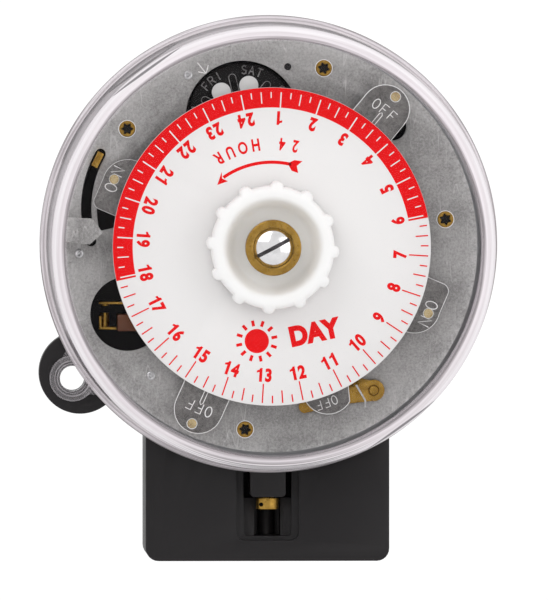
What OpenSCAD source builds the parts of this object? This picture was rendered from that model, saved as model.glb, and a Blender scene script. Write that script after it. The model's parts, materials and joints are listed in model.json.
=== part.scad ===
// Round plug-in programmable timer for heating and lighting circuits.
// A 24-hour dial with four switching tappets, a day wheel for skipped days,
// a clear twist-off cover and a wall terminal block that the timer plugs into.
// Frame: millimetres, +Z up, the front faces -Y. The origin is on the wall,
// where the dial's axis meets it, so depth from the wall is -Y.

/* [Terminal block] */
// Width of the wall terminal block
block_w = 58.6; // [56:0.2:60]
// Lowest edge of the block below the dial's axis
block_drop = 76.5; // [75:0.5:80]
// Top edge of the block above the dial's axis
block_top = 8; // [6:0.5:9]
// Depth of the block from the wall to its front face
block_d = 30; // [30:0.1:30.2]
// Thickness of the block's back plate
back_plate_t = 2; // [1.6:0.2:2.4]
// Width of the locking channel down the block's front
channel_w = 11.5; // [11.4:0.1:12]
// Radius of the timer's contact pins
pin_r = 2; // [1.8:0.05:2.1]

/* [Case] */
// Outer radius of the black case
case_r = 49; // [48.8:0.1:49]
// Wall thickness of the case
case_wall = 2; // [1.6:0.1:2]
// Depth of the case's front rim, where the dial plate sits
case_front = 50.5; // [50.5:0.1:50.6]
// Radius of the step that carries the cover's gasket
step_r = 50.4; // [50.2:0.1:50.6]
// Width of the locking tongue below the case
tongue_w = 8.5; // [8:0.1:9]
// Direction of the sealing lug, anticlockwise from the right
lug_angle = 214.4; // [212:0.2:218]

/* [Cover] */
// Outer radius of the cover's flange
flange_r = 55; // [54.8:0.1:56]
// Depth of the cover's back edge
cover_back = 34; // [34:0.05:34.1]
// Depth of the cover's front face
cover_front = 75; // [74:0.5:80]
// Wall thickness of the clear cover
cover_wall = 1.9; // [1.6:0.1:2]
// Radius of the rounded front edge
cover_edge_r = 3; // [2.4:0.1:3.4]

/* [Dial plate] */
// Radius of the aluminium dial plate
plate_r = 49.5; // [49.2:0.1:49.6]
// Thickness of the dial plate
plate_t = 1.5; // [1.2:0.1:1.5]
// Radius of the window over the day wheel
day_window_r = 13.6; // [13.5:0.1:13.8]
// Radius of the window over the contacts
contact_window_r = 8.9; // [8:0.1:9]

/* [Dial and knob] */
// Radius of the 24-hour dial disc
dial_r = 38.1; // [37:0.1:38.5]
// Radius of the clamping knob's body
knob_r = 14.7; // [14:0.1:15]
// Number of grip bumps round the knob
knob_bumps = 12; // [8:1:16]
// Height of the clamping knob
knob_h = 9; // [8:0.1:9.2]
// Teeth on the dial's gear wheel
dial_teeth = 48; // [48:1:48]

/* [Tappets] */
// Thickness of one tappet
tappet_t = 0.6; // [0.5:0.05:0.6]
// Distance from one tappet's back to the next one's
tappet_pitch = 0.75; // [0.75:0.01:0.77]
// Width of an OFF tappet's arm
off_w = 11.8; // [11:0.2:12]
// Reach of an OFF tappet from the dial's axis
off_reach = 48.6; // [48:0.1:48.8]
// Reach of an ON tappet from the dial's axis
on_reach = 43.5; // [43:0.1:43.8]

/* [Day wheel] */
// Radius of the day wheel
day_r = 13.1; // [12.8:0.1:13.2]
// Distance from the day wheel's centre to its skip pins
skip_ring_r = 7.8; // [7.4:0.1:8.2]
// Radius of a skip pin's head
skip_head_r = 2.3; // [2:0.1:2.4]

/* [Hidden] */
$fn = 96;
gap = 0.3;
fit = 0.05;

// depths from the wall, back to front
recess_d = block_d + 0.4;
floor_d = recess_d + case_wall;
back_frame_d = 36;
back_frame_t = 1.5;
gear_d = 44;
gear_t = 1.5;
lever_d = 47.6;
day_d = 48;
day_t = 1.2;
plate_front = case_front + plate_t;
rocker_d = plate_front + 0.3;
rocker_t = 0.6;
flag_t = 0.5;
pin_tip_d = plate_front + 1.7;
tappet_d = plate_front + 2.2;
dial_d = tappet_d + 4 * tappet_pitch;
dial_t = 1.2;
washer_d = dial_d + dial_t + 0.2;
washer_t = 0.8;
knob_d = washer_d + washer_t;
collar_d = 66;
collar_h = 4;

// places on the dial plate, each [direction, distance from the axis]
day_at = [102.5, 31.5];
contact_at = [205.3, 38];
lever_at = [152.8, 19.7];
rocker_at = [305.4, 42.5];
gauge_hole_at = [44.2, 40.8];
pillars_at = [[140.8, 44.4], [73.4, 44.4], [8.6, 42.3], [262, 44.4]];
rivets_at = [[182.2, 46.0], [227.2, 42.4], [115.9, 45.5]];
peg_at = [84.6, 43.1];
frame_screws_at = [[35, 41], [120, 41.5], [235, 36], [320, 41]];
post_r = 3.4;
lug_dist = 54.8;
lug_r = 9.9;
ear_dist = 57.1;
ear_r = 5.5;
seal_hole_r = 3;
ear_hole_r = 3.25;

// places on the block
terminals_x = [-19.5, -6.5, 6.5, 19.5];
terminal_z = -24;
pin_z = -21;
terminal_screw_z = -27.5;
wall_screw_x = 22;
wall_screw_r = 2.25;
chamber_d = 16.5;
channel_d = 19;
tongue_bottom = -61;
seal_axis_d = 29;
seal_head_r = 2.75;

// sleeve that the dial and the tappets turn on
hub_r = 5.5;
arbor_r = 2.5;
tappet_hub_r = 9;

// going train: a dial wheel, an intermediate wheel and a motor pinion
dial_module = 0.7;
motor_module = 0.5;
idler_small = 12;
idler_big = 60;
motor_teeth = 10;
idler_dir = -20;
idler_dist = dial_module * (dial_teeth + idler_small) / 2;
idler_x = idler_dist * cos(idler_dir);
idler_z = idler_dist * sin(idler_dir);
motor_dir = 60;
motor_dist = motor_module * (idler_big + motor_teeth) / 2;
motor_x = idler_x + motor_dist * cos(motor_dir);
motor_z = idler_z + motor_dist * sin(motor_dir);

// the override lever's slot, about the lever's pivot
slot_mid_r = 26.7;
slot_w = 2.5;
slot_from = 150.7;
slot_to = 197.1;
lever_rest = 154;
lever_end_r = 1.9;
lever_relief_r = 48.15;

off_angles = [50.3, 245.8];
on_angles = [156.9, 336.8];
off_pin_r = 46.5;
on_pin_r = 40.9;

// ---- helpers ----------------------------------------------------------

// stands a flat X-Z outline up from depth d towards the front
module slab(d, t) {
    translate([0, -d, 0]) rotate([90, 0, 0]) linear_extrude(t) children();
}

// a round disc on the dial's axis, from depth d towards the front
module disc(d, t, r) {
    translate([0, -d, 0]) rotate([90, 0, 0]) cylinder(h = t, r = r);
}

// a flat ring on the dial's axis
module ring(d, t, outer, inner) {
    difference() {
        disc(d, t, outer);
        disc(d - 1, t + 2, inner);
    }
}

// moves a piece to a direction and a distance from the dial's axis
module put(place) {
    translate([place[1] * cos(place[0]), 0, place[1] * sin(place[0])]) children();
}

// turns a piece about the dial's axis, anticlockwise from the front
module turned(angle) {
    rotate([0, -angle, 0]) children();
}

// a box given by its corners: x, depth and z
module box(x0, x1, d0, d1, z0, z1) {
    translate([x0, -d1, z0]) cube([x1 - x0, d1 - d0, z1 - z0]);
}

function point(angle, r) = [r * cos(angle), r * sin(angle)];

function arc(centre, r, from, to, steps) = [
    for (i = [0:steps]) centre + point(from + (to - from) * i / steps, r)
];

// a rectangle with round corners
function round_rect(x0, z0, x1, z1, r) = concat(
    arc([x1 - r, z1 - r], r, 0, 90, 6),
    arc([x0 + r, z1 - r], r, 90, 180, 6),
    arc([x0 + r, z0 + r], r, 180, 270, 6),
    arc([x1 - r, z0 + r], r, 270, 360, 6)
);

// a stretch of a ring between two directions, with square ends
function ring_part(inner, outer, from, to, steps) = concat(
    arc([0, 0], outer, from, to, steps),
    arc([0, 0], inner, to, from, steps)
);

// one gear tooth: root, pitch line and tip, each [radius, half its width]
function tooth(angle, pitch_r, mod) =
    let (root = pitch_r - 1.25 * mod, tip = pitch_r + 0.75 * mod)
    [
        for (p = [[root, -0.62], [pitch_r, -0.54], [tip, -0.2],
                  [tip, 0.2], [pitch_r, 0.54], [root, 0.62]])
            point(angle + p[1] * mod * 180 / PI / p[0], p[0])
    ];

module gear_outline(teeth, mod, phase) {
    pitch_r = teeth * mod / 2;
    polygon([
        for (i = [0:teeth - 1]) each tooth(phase + i * 360 / teeth, pitch_r, mod)
    ]);
}

// ---- wall terminal block ------------------------------------------------

module block_housing() {
    half = block_w / 2;
    color("#2e2a2c")
    difference() {
        union() {
            difference() {
                slab(back_plate_t, block_d - back_plate_t)
                    polygon(round_rect(-half, -block_drop, half, block_top, 3));
                channel_cut();
            }
            channel_ribs();
        }
        wiring_chamber_cut();
        for (x = terminals_x) translate([x, 0, 0]) terminal_well_cut();
        for (side = [-1, 1]) translate([side * wall_screw_x, 0, 0]) {
            disc(0, block_d + 1, wall_screw_r);
            disc(8, block_d, 4.6);
        }
    }
}

// the channel takes the case's locking tongue and is open at the front
module channel_cut() {
    half = channel_w / 2;
    slab(channel_d, block_d) polygon(round_rect(-half, -70.5, half, -41, 1));
    slab(block_d - 1.2, block_d) polygon(round_rect(-half - 1.8, -71.5, half + 1.8, -39, 2));
}

module channel_ribs() {
    half = channel_w / 2;
    for (side = [-1, 1])
        box(min(side * 3.15, side * (half + 0.5)), max(side * 3.15, side * (half + 0.5)),
            channel_d - 0.5, 27, -70.8, tongue_bottom - 0.35);
    translate([0, -channel_d - 0.4, -70.8]) cylinder(h = 6.3, r = 2.05);
}

// the wiring chamber is open at the back and at the cable entry below
module wiring_chamber_cut() {
    box(-26, 26, -1, chamber_d, -block_drop + 3, -41);
    box(-10, 10, 4, chamber_d - 0.5, -block_drop - 1, -block_drop + 4);
}

module terminal_well_cut() {
    box(-4.3, 4.3, -1, 24, terminal_z - 7.2, terminal_z + 7.2);
    box(-3.2, 3.2, -1, chamber_d, -42, terminal_z - 7);
    translate([0, 0, pin_z]) disc(20, block_d, pin_r + 0.4);
    translate([0, 0, terminal_screw_z]) disc(20, block_d, 2.9);
}

module block_back_plate() {
    half = block_w / 2 - 0.8;
    color("#38343a")
    difference() {
        slab(0, back_plate_t)
            polygon(round_rect(-half, -block_drop + 0.8, half, block_top - 0.8, 2.4));
        for (side = [-1, 1]) translate([side * wall_screw_x, 0, 0])
            disc(-1, back_plate_t + 2, wall_screw_r);
    }
}

module socket_terminals() {
    color("#c08f35")
    for (x = terminals_x) translate([x, 0, 0]) difference() {
        box(-4.2, 4.2, 12, 24, terminal_z - 7, terminal_z + 7);
        translate([0, 0, pin_z]) disc(13, 12, pin_r + 0.06);
        translate([0, 0, terminal_screw_z]) disc(18, 7, 1.5 + fit);
        translate([0, -18, terminal_z - 8]) cylinder(h = 7, r = 1.9);
    }
}

module terminal_screws() {
    color("#c9b27a")
    for (x = terminals_x) translate([x, 0, terminal_screw_z]) difference() {
        union() {
            disc(20.2, 4.5, 1.5);
            disc(24.3, 2.2, 2.6);
        }
        box(-3, 3, 25.6, 27, -0.4, 0.4);
    }
}

// ---- plug-in case ---------------------------------------------------------

module base_case() {
    color("#2e2a2c")
    difference() {
        union() {
            case_tub();
            case_tongue();
        }
        box(-block_w / 2 - 0.4, block_w / 2 + 0.4, -1, recess_d, -90, block_top + 0.4);
        box(-tongue_w / 2 - 2, tongue_w / 2 + 2, -1, 25.8, -90, -30);
        for (x = terminals_x) translate([x, 0, pin_z])
            disc(recess_d - 1, 5, pin_r + 0.02);
        translate([0, -seal_axis_d, tongue_bottom - 1]) cylinder(h = 12, r = 1.6 + fit);
    }
    color("#2e2a2c") case_tongue_drop();
}

// the stretch of the tongue that hangs in the block's channel
module case_tongue_drop() {
    difference() {
        slab(26, recess_d - 26 + 0.01)
            polygon(round_rect(-tongue_w / 2, tongue_bottom, tongue_w / 2, -42.5, 1));
        translate([0, -seal_axis_d, tongue_bottom - 1]) cylinder(h = 12, r = 1.6 + fit);
    }
}

module case_tub() {
    difference() {
        union() {
            disc(1, case_front - 1, case_r);
            disc(1, cover_back - 1, step_r);
        }
        difference() {
            disc(1 + case_wall, case_front, case_r - case_wall);
            recess_wall();
            for (place = frame_screws_at) put(place) disc(0, back_frame_d, post_r);
        }
        for (place = frame_screws_at) put(place) disc(back_frame_d - 8, 9, 1.2 + fit);
        slab(lever_d - 1, 5) polygon(ring_part(45, lever_relief_r, 146, 168, 12));
    }
}

// the walls and the floor that stand round the block inside the case
module recess_wall() {
    outer = block_w / 2 + 0.4 + case_wall;
    box(-outer, outer, 0, floor_d, -60, block_top + 0.4 + case_wall);
}

module case_tongue() {
    slab(recess_d - 0.5, case_wall + 0.5)
        polygon(round_rect(-tongue_w / 2, tongue_bottom, tongue_w / 2, -42.5, 1));
}

// round lug that stands on the case's side, behind the cover's ear
module sealing_lug() {
    color("#2e2a2c")
    turned(lug_angle) difference() {
        union() {
            translate([lug_dist, 0, 0]) disc(28, cover_back - gap - 28, lug_r);
            slab(28, cover_back - gap - 28)
                polygon([[47.5, -lug_r], [lug_dist, -lug_r], [lug_dist, lug_r], [47.5, lug_r]]);
        }
        disc(20, 20, step_r + 0.02);
        translate([ear_dist, 0, 0]) disc(20, 20, seal_hole_r);
    }
}

module contact_pins() {
    color("#c08f35")
    for (x = terminals_x) translate([x, 0, pin_z]) {
        disc(15, floor_d - 15 + 0.6, pin_r);
        disc(floor_d, 1.2, 3.4);
    }
}

// brass cheese-head screw that locks and seals the timer to the block
module seal_screw() {
    top = tongue_bottom - 0.35;
    color("#e8c36e")
    translate([0, -seal_axis_d, 0]) difference() {
        union() {
            translate([0, 0, top - 2.6]) cylinder(h = 2.6, r = seal_head_r);
            translate([0, 0, top - 0.2]) cylinder(h = 10, r = 1.6);
        }
        translate([-1.6, 0, top - 1.5]) rotate([90, 0, 0]) translate([0, 0, -4]) cylinder(h = 8, r = 0.5);
        translate([-4, -0.4, top - 3]) cube([8, 0.8, 1.1]);
    }
}

// ---- clear cover -----------------------------------------------------------

module cover_gasket() {
    color("#c8c8cc") ring(cover_back, 2, 52.4, case_r + fit);
}

// the cover's section: [radius, depth from the cover's back edge]
function cover_section() =
    let (h = cover_front - cover_back, lip = 2.05, side_back = 53.4, side_front = 53)
    let (e = cover_edge_r, w = cover_wall)
    concat(
        [[52.75, 0], [flange_r, 0], [flange_r, 2.2], [flange_r - 0.7, 2.8], [side_back, 3]],
        [for (a = [0:15:90]) [side_front - e + e * cos(a), h - e + e * sin(a)]],
        [[0, h], [0, h - w]],
        [for (a = [90:-30:0])
            [side_front - e + (e - w) * cos(a), h - e + (e - w) * sin(a)]],
        [[side_back - 2.2, 3], [side_back - 2.2, lip], [52.75, lip]]
    );

module cover_shell() {
    color("#e6e4f0", 0.4)
    difference() {
        union() {
            translate([0, -cover_back, 0]) rotate([90, 0, 0])
                rotate_extrude($fn = 144) polygon(cover_section());
            difference() {
                turned(lug_angle) {
                    translate([ear_dist, 0, 0]) disc(cover_back, 2.6, ear_r);
                    slab(cover_back, 2.2)
                        polygon([[53.5, -4.6], [ear_dist, -3.2], [ear_dist, 3.2], [53.5, 4.6]]);
                }
                disc(cover_back - 1, 5, 53);
            }
        }
        turned(lug_angle) translate([ear_dist, 0, 0]) disc(cover_back - 2, 8, ear_hole_r);
    }
}

// ---- dial plate and its fixings ---------------------------------------------

module dial_plate() {
    color("#9c9c9e")
    difference() {
        disc(case_front, plate_t, plate_r);
        disc(case_front - 1, 4, hub_r - 0.5 + fit);
        put(day_at) disc(case_front - 1, 4, day_window_r);
        put(contact_at) disc(case_front - 1, 4, contact_window_r);
        put(gauge_hole_at) disc(case_front - 1, 4, 3.2);
        for (place = pillars_at) put(place) disc(case_front - 1, 4, 1.4 + fit);
        for (place = rivets_at) put(place) disc(case_front - 1, 4, 0.7 + fit);
        put(peg_at) disc(case_front - 1, 4, 0.85);
        put(rocker_at) disc(case_front - 1, 4, 1.1 + fit);
        translate([idler_x, 0, idler_z]) disc(case_front - 1, 4, 0.8 + fit);
        slab(case_front - 1, 4) plate_slots();
    }
}

// the override lever's slot and the wide window beside it
module plate_slots() {
    half = slot_w / 2;
    translate(point(lever_at[0], lever_at[1])) {
        polygon(concat(
            arc([0, 0], slot_mid_r + half, slot_from, slot_to, 16),
            arc(point(slot_to, slot_mid_r), half, slot_to, slot_to + 180, 8),
            arc([0, 0], slot_mid_r - half, slot_to, slot_from, 16),
            arc(point(slot_from, slot_mid_r), half, slot_from + 180, slot_from + 360, 8)
        ));
        polygon(ring_part(17.5, slot_mid_r - half - 1.3, 173, 193, 8));
    }
}

module plate_pillars() {
    color("#a07838")
    for (place = pillars_at) put(place) {
        disc(back_frame_d + back_frame_t, case_front - back_frame_d - back_frame_t, 1.9);
        disc(case_front - 0.5, plate_t + 0.9, 1.4);
    }
}

module plate_rivets() {
    color("#b0aeac")
    for (place = rivets_at) put(place) {
        disc(case_front - 0.6, plate_t + 0.9, 0.7);
        disc(plate_front, 0.25, 1.05);
    }
}

// bent tab at the plate's edge that marks the time on the dial
module time_pointer() {
    leg_out = plate_r + 0.65;
    arm_d = dial_d + 0.25;
    color("#a8a8aa")
    turned(175.2) {
        box(plate_r + 0.02, leg_out, case_front + 0.1, arm_d + 0.6, -2.9, 2.9);
        slab(arm_d, 0.6)
            polygon([[leg_out, -2.9], [leg_out, 2.9], [43.4, 3.1], [40.6, 0], [43.4, -3.1]]);
    }
}

module arbor_bush() {
    color("#b98f45")
    difference() {
        union() {
            disc(47.4, plate_front - 47.4, hub_r - 0.5);
            disc(plate_front, 0.8, 7.2);
        }
        disc(40, 20, arbor_r + fit);
    }
}

// ---- dial, its arbor and its clamping knob -----------------------------------

module dial_arbor() {
    color("#b8b8bc")
    difference() {
        disc(35, 31, arbor_r);
        disc(57, 12, 1.5 + 0.02);
    }
}

module dial_gear() {
    color("#c8a04a")
    difference() {
        union() {
            slab(gear_d, gear_t) gear_outline(dial_teeth, dial_module, idler_dir);
            disc(gear_d - 2.5, 3, 5);
        }
        disc(30, 30, arbor_r + 0.02);
        for (k = [0:5]) turned(k * 60 + 10) translate([10.6, 0, 0]) disc(gear_d - 1, 4, 2.8);
    }
}

// short finger on the dial's gear that moves the day wheel once a day
module day_finger() {
    color("#8c8c90")
    difference() {
        slab(gear_d + gear_t, 0.7)
            polygon(concat(arc([0, 0], 5, 110, 330, 12), [[5, -1.4], [17.5, -0.8], [17.5, 0.8], [5, 1.4]],
                arc([0, 0], 5, 30, 110, 5)));
        disc(40, 10, arbor_r + 0.02);
    }
}

module dial_hub() {
    color("#d8d4c8")
    difference() {
        disc(plate_front + 1.1, collar_d - plate_front - 1.1, hub_r);
        disc(50, 20, arbor_r + 0.02);
    }
}

module dial_disc() {
    color("#f0eeee") ring(dial_d, dial_t, dial_r, hub_r + 0.02);
}

module brass_collar() {
    color("#9a7230")
    difference() {
        disc(collar_d, collar_h, 6.67);
        disc(collar_d + 1.2, collar_h, 4.85);
        disc(collar_d - 1, 4, 1.55);
    }
}

module centre_screw() {
    head_d = collar_d + 1.2;
    color("#c4c4c8")
    difference() {
        union() {
            disc(58, head_d - 58 + 0.3, 1.5);
            intersection() {
                disc(head_d, 4, 4.65);
                translate([0, -head_d + 4.6, 0]) sphere(r = 8);
            }
        }
        turned(29) box(-5, 5, head_d + 2.3, head_d + 5, -0.5, 0.5);
    }
}

module clamp_washer() {
    color("#c8c8cc") ring(washer_d, washer_t, 12, hub_r + 0.06);
}

module lock_knob() {
    color("#f4f4f2")
    difference() {
        union() {
            disc(knob_d, knob_h, knob_r);
            for (k = [0:knob_bumps - 1]) turned(-4 + k * 360 / knob_bumps)
                translate([knob_r - 0.9, 0, 0]) disc(knob_d, knob_h - 0.6, 2.1);
        }
        disc(knob_d - 1, knob_h + 2, hub_r + 0.06);
        translate([0, -knob_d - 3.6, 0]) rotate([90, 0, 0])
            cylinder(h = knob_h, r1 = 9.2, r2 = 12.4);
        ring(knob_d + knob_h - 1, 2, 13.1, 12.2);
    }
}

// ---- tappets -------------------------------------------------------------------

// level 0 is nearest the plate
module off_tappet(level, angle) {
    end_r = off_w / 2;
    color("#5e5c5c")
    turned(angle) difference() {
        slab(tappet_d + level * tappet_pitch, tappet_t) polygon(concat(
            arc([off_reach - end_r, 0], end_r, -90, 90, 16),
            arc([0, 0], tappet_hub_r, 41, 319, 20)
        ));
        disc(50, 10, hub_r + 0.06);
        translate([off_pin_r, 0, 0]) disc(50, 10, 1.1 + 0.02);
    }
}

// an ON tappet has a flat outer edge with one tight corner
module on_tappet(level, angle) {
    color("#5e5c5c")
    turned(angle) difference() {
        slab(tappet_d + level * tappet_pitch, tappet_t) polygon(concat(
            arc([37.3, 0], 6.2, -90, 8, 12),
            arc([on_reach - 2, 6], 2, 12, 90, 6),
            [[36, 8]],
            arc([0, 0], tappet_hub_r, 62, 319, 20)
        ));
        disc(50, 10, hub_r + 0.06);
        translate([on_pin_r, 0, 0]) disc(50, 10, 1.1 + 0.02);
    }
}

module tappet_pin(level, angle, r) {
    front = tappet_d + level * tappet_pitch + tappet_t;
    color("#c9a56c")
    turned(angle) translate([r, 0, 0]) disc(pin_tip_d, front - pin_tip_d, 1.1);
}

// ---- day wheel ---------------------------------------------------------------------

module day_disc() {
    color("#262224")
    put(day_at) difference() {
        disc(day_d, day_t, day_r);
        disc(day_d - 1, 4, 1.5 + 0.06);
        for (k = [0:6]) turned(day_angle(k)) translate([skip_ring_r, 0, 0])
            disc(day_d - 1, 4, 1.1 + 0.06);
    }
}

// direction of one day's skip pin, seen from the day wheel's centre
function day_angle(k) = 129.5 - k * 360 / 7;

module day_star() {
    color("#d8d4c8")
    put(day_at) difference() {
        union() {
            slab(45.4, 1) polygon([
                for (k = [0:13]) point(day_angle(0) + k * 180 / 7, k % 2 == 0 ? 12.4 : 5.2)
            ]);
            disc(46.3, day_d - 46.3, 3.2);
        }
        disc(40, 10, 1.5 + 0.06);
    }
}

// the fixed pivots of the day wheel and the override lever
module pivot_studs() {
    foot = back_frame_d + back_frame_t;
    color("#b8b8bc") {
        put(day_at) {
            disc(foot, day_d + day_t + 0.4 - foot, 1.5);
            disc(foot, 7.4, 2.6);
        }
        put(lever_at) disc(foot, case_front - foot, 1.5);
    }
}

// flat leaf that rests beside the star's teeth
module day_detent_spring() {
    color("#c9c9cd")
    translate([11, 0, 0]) {
        box(0, 0.4, 44.8, 46.8, 24, 38);
        box(0, 4, back_frame_d + back_frame_t, 46.8, 38, 39.4);
    }
}

module skip_pin(k) {
    color("#e8e8e6")
    put(day_at) turned(day_angle(k)) translate([skip_ring_r, 0, 0]) {
        disc(day_d - 0.6, day_t + 0.7, 1.1);
        disc(day_d + day_t, 0.7, skip_head_r);
    }
}

// ---- manual override and switching ----------------------------------------------------

module override_lever() {
    color("#4a4648")
    put(lever_at) turned(lever_rest) difference() {
        union() {
            disc(lever_d - 0.8, 2.4, 4);
            slab(lever_d, 0.8) polygon(concat(
                [[0, -3.4]], arc([slot_mid_r - 0.6, 0], lever_end_r, -90, 90, 8), [[0, 3.4]]
            ));
        }
        disc(40, 12, 1.5 + 0.06);
    }
}

module override_tip() {
    color("#c9a24a")
    put(lever_at) turned(lever_rest)
        box(slot_mid_r - 0.8, slot_mid_r + 0.8, lever_d + 0.8, plate_front + 1.3, -1.9, 1.9);
}

// brass lever that the tappet pins pass over, pivoted near the plate's edge
module trip_rocker() {
    color("#b08838")
    put(rocker_at) difference() {
        slab(rocker_d, rocker_t) polygon(concat(
            arc([0, 0], 2.6, -100, 110, 14),
            [[-9, 4.4], [-18, 2.4]],
            arc([-16.4, -3.9], 1.6, 120, 260, 6),
            [[-8, -3.4]]
        ));
        disc(rocker_d - 1, 4, 1.1 + 0.06);
    }
}

// ON/OFF flag that the rocker shows at the dial's edge
module indicator_flag() {
    color("#5e5c5c")
    slab(rocker_d + rocker_t, flag_t) polygon(concat(
        arc([13.6, -34.2], 6.2, 205, 330, 12),
        [[18.4, -31.5], [9.5, -31.0]]
    ));
}

module rocker_stud() {
    color("#c9a24a")
    put(rocker_at) disc(case_front - 1, plate_t + 2.5, 1.1);
}

// fine flat wire that steadies the rocker
module rocker_spring() {
    color("#c4c4c8") slab(rocker_d + rocker_t, 0.4) polygon([
        [20.2, -33.4], [20.6, -33.2], [22.8, -37.0], [22.8, -38.6], [22.4, -38.6], [22.4, -37.1]
    ]);
}

module moving_contact() {
    color("#c08f35")
    difference() {
        union() {
            box(-41, -24.5, 41, 46, -14.1, -13.6);
            translate([-24, 0, -13.8]) disc(41, 5, 1.4);
            translate([-39.5, -43.5, -14.6]) cylinder(h = 0.6, r = 1.1);
        }
        translate([-24, 0, -13.8]) disc(40, 8, 0.8 + fit);
    }
}

module fixed_contact() {
    color("#c08f35") {
        box(-41, -36.8, 41, 46, -20.2, -19.6);
        box(-41, -40.4, 41, 46, -20.2, -17);
        translate([-39.5, -43.5, -19.8]) cylinder(h = 3.6, r = 1.1);
    }
}

module contact_base() {
    color("#d8762c") {
        box(-36.6, -32, back_frame_d + back_frame_t, 46.5, -20.6, -16.6);
        translate([-24, 0, -13.8]) disc(back_frame_d + back_frame_t, 9, 0.8);
        box(-26, -22, back_frame_d + back_frame_t, 40.4, -16.6, -11);
    }
}

// ---- movement ---------------------------------------------------------------------------

module back_frame() {
    color("#d6d6d2")
    difference() {
        disc(back_frame_d, back_frame_t, case_r - case_wall - 0.4);
        for (place = frame_screws_at) put(place) disc(30, 10, 1.2 + fit);
        disc(30, 10, arbor_r + fit);
        translate([idler_x, 0, idler_z]) disc(30, 10, 0.8 + fit);
        translate([motor_x, 0, motor_z]) disc(30, 10, 6.05);
    }
}

module frame_screws() {
    color("#b8b8bc")
    for (place = frame_screws_at) put(place) difference() {
        union() {
            disc(back_frame_d - 6, 8, 1.2);
            disc(back_frame_d + back_frame_t, 1.4, 2.3);
        }
        box(-2.5, 2.5, back_frame_d + back_frame_t + 0.9, 40, -0.3, 0.3);
    }
}

// synchronous stepping motor, its gearbox face through the frame
module motor_case() {
    color("#b8b8bc")
    translate([motor_x, 0, motor_z]) difference() {
        union() {
            disc(back_frame_d + back_frame_t, 2.6, 9);
            disc(back_frame_d - 0.2, 3, 6);
        }
        disc(30, 12, 0.9 + fit);
    }
}

module motor_pinion() {
    color("#e0dccf")
    translate([motor_x, 0, motor_z]) {
        slab(40.6, 1.8) gear_outline(motor_teeth, motor_module, motor_dir + 180 + 180 / motor_teeth);
        disc(back_frame_d + 0.4, 42.4 - back_frame_d - 0.4, 0.9);
    }
}

module idler_wheel() {
    color("#e0dccf")
    translate([idler_x, 0, idler_z]) {
        difference() {
            slab(41, 1) gear_outline(idler_big, motor_module, motor_dir);
            for (k = [0:4]) turned(k * 72) translate([9.2, 0, 0]) disc(40, 4, 2.9);
        }
        slab(41.9, gear_d + gear_t - 0.1 - 41.9) gear_outline(idler_small, dial_module, idler_dir + 180 + 180 / idler_small);
        disc(back_frame_d + 0.2, case_front + 1 - back_frame_d - 0.2, 0.8);
    }
}

module circuit_board() {
    color("#2f6b3c")
    difference() {
        slab(22, 1.6) polygon(concat(
            arc([0, 0], 44, 24, 156, 24), [[-34, 14.6], [34, 14.6]]
        ));
        for (place = frame_screws_at) put(place) disc(20, 6, post_r + 0.4);
    }
}

module board_components() {
    color("#303036") {
        box(-12, 4, 23.6, 27.6, 22, 30);
        box(10, 18, 23.6, 29, 18, 27);
        box(-28, -22, 23.6, 26, 17, 29);
        translate([24, 0, 24]) disc(23.6, 9, 3.6);
        translate([22, 0, 33]) disc(23.6, 7, 2.6);
        box(-2.6, 2.6, 23.6, 25.2, 34, 41);
    }
}

module reserve_battery() {
    color("#7c9c4c") translate([-8, 0, 26]) disc(6, 15.6, 8);
}

// ---- assembly -----------------------------------------------------------------------------

block_housing();
block_back_plate();
socket_terminals();
terminal_screws();
base_case();
sealing_lug();
contact_pins();
seal_screw();
cover_gasket();
cover_shell();
dial_plate();
plate_pillars();
plate_rivets();
time_pointer();
arbor_bush();
dial_arbor();
dial_gear();
day_finger();
dial_hub();
dial_disc();
brass_collar();
centre_screw();
clamp_washer();
lock_knob();
for (i = [0:1]) {
    on_tappet(i, on_angles[i]);
    tappet_pin(i, on_angles[i], on_pin_r);
    off_tappet(i + 2, off_angles[i]);
    tappet_pin(i + 2, off_angles[i], off_pin_r);
}
day_disc();
day_star();
pivot_studs();
day_detent_spring();
for (k = [0:6]) {
    skip_pin(k);
}
override_lever();
override_tip();
trip_rocker();
indicator_flag();
rocker_stud();
rocker_spring();
moving_contact();
fixed_contact();
contact_base();
back_frame();
frame_screws();
motor_case();
motor_pinion();
idler_wheel();
circuit_board();
board_components();
reserve_battery();
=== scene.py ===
"""Looks of a round plug-in programmable timer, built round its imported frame.

The frame gives every place and size. This script refines the moulded and
pressed pieces, prints the dial, engraves the tappets and the day wheel, makes
the clear cover and gives each piece its own procedural finish.
"""

import json
import math

import bmesh
import bpy
from mathutils import Matrix, Vector


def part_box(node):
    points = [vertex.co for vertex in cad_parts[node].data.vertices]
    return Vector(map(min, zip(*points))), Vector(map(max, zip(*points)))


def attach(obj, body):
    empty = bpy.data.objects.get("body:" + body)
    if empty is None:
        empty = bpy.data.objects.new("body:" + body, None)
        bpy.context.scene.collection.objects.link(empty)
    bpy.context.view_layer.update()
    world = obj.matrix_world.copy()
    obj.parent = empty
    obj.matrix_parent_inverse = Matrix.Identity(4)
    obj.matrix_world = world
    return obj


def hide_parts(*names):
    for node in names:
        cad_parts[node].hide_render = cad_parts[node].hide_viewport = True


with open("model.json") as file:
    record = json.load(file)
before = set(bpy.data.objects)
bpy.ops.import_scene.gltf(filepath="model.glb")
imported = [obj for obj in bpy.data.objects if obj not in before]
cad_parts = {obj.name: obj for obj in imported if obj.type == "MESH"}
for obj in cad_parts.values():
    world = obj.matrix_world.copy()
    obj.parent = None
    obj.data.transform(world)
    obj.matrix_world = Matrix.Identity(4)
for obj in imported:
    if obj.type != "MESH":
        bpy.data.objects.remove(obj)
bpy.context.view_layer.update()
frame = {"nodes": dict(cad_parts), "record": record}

MM = 0.001
NODES = frame["nodes"]
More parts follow.
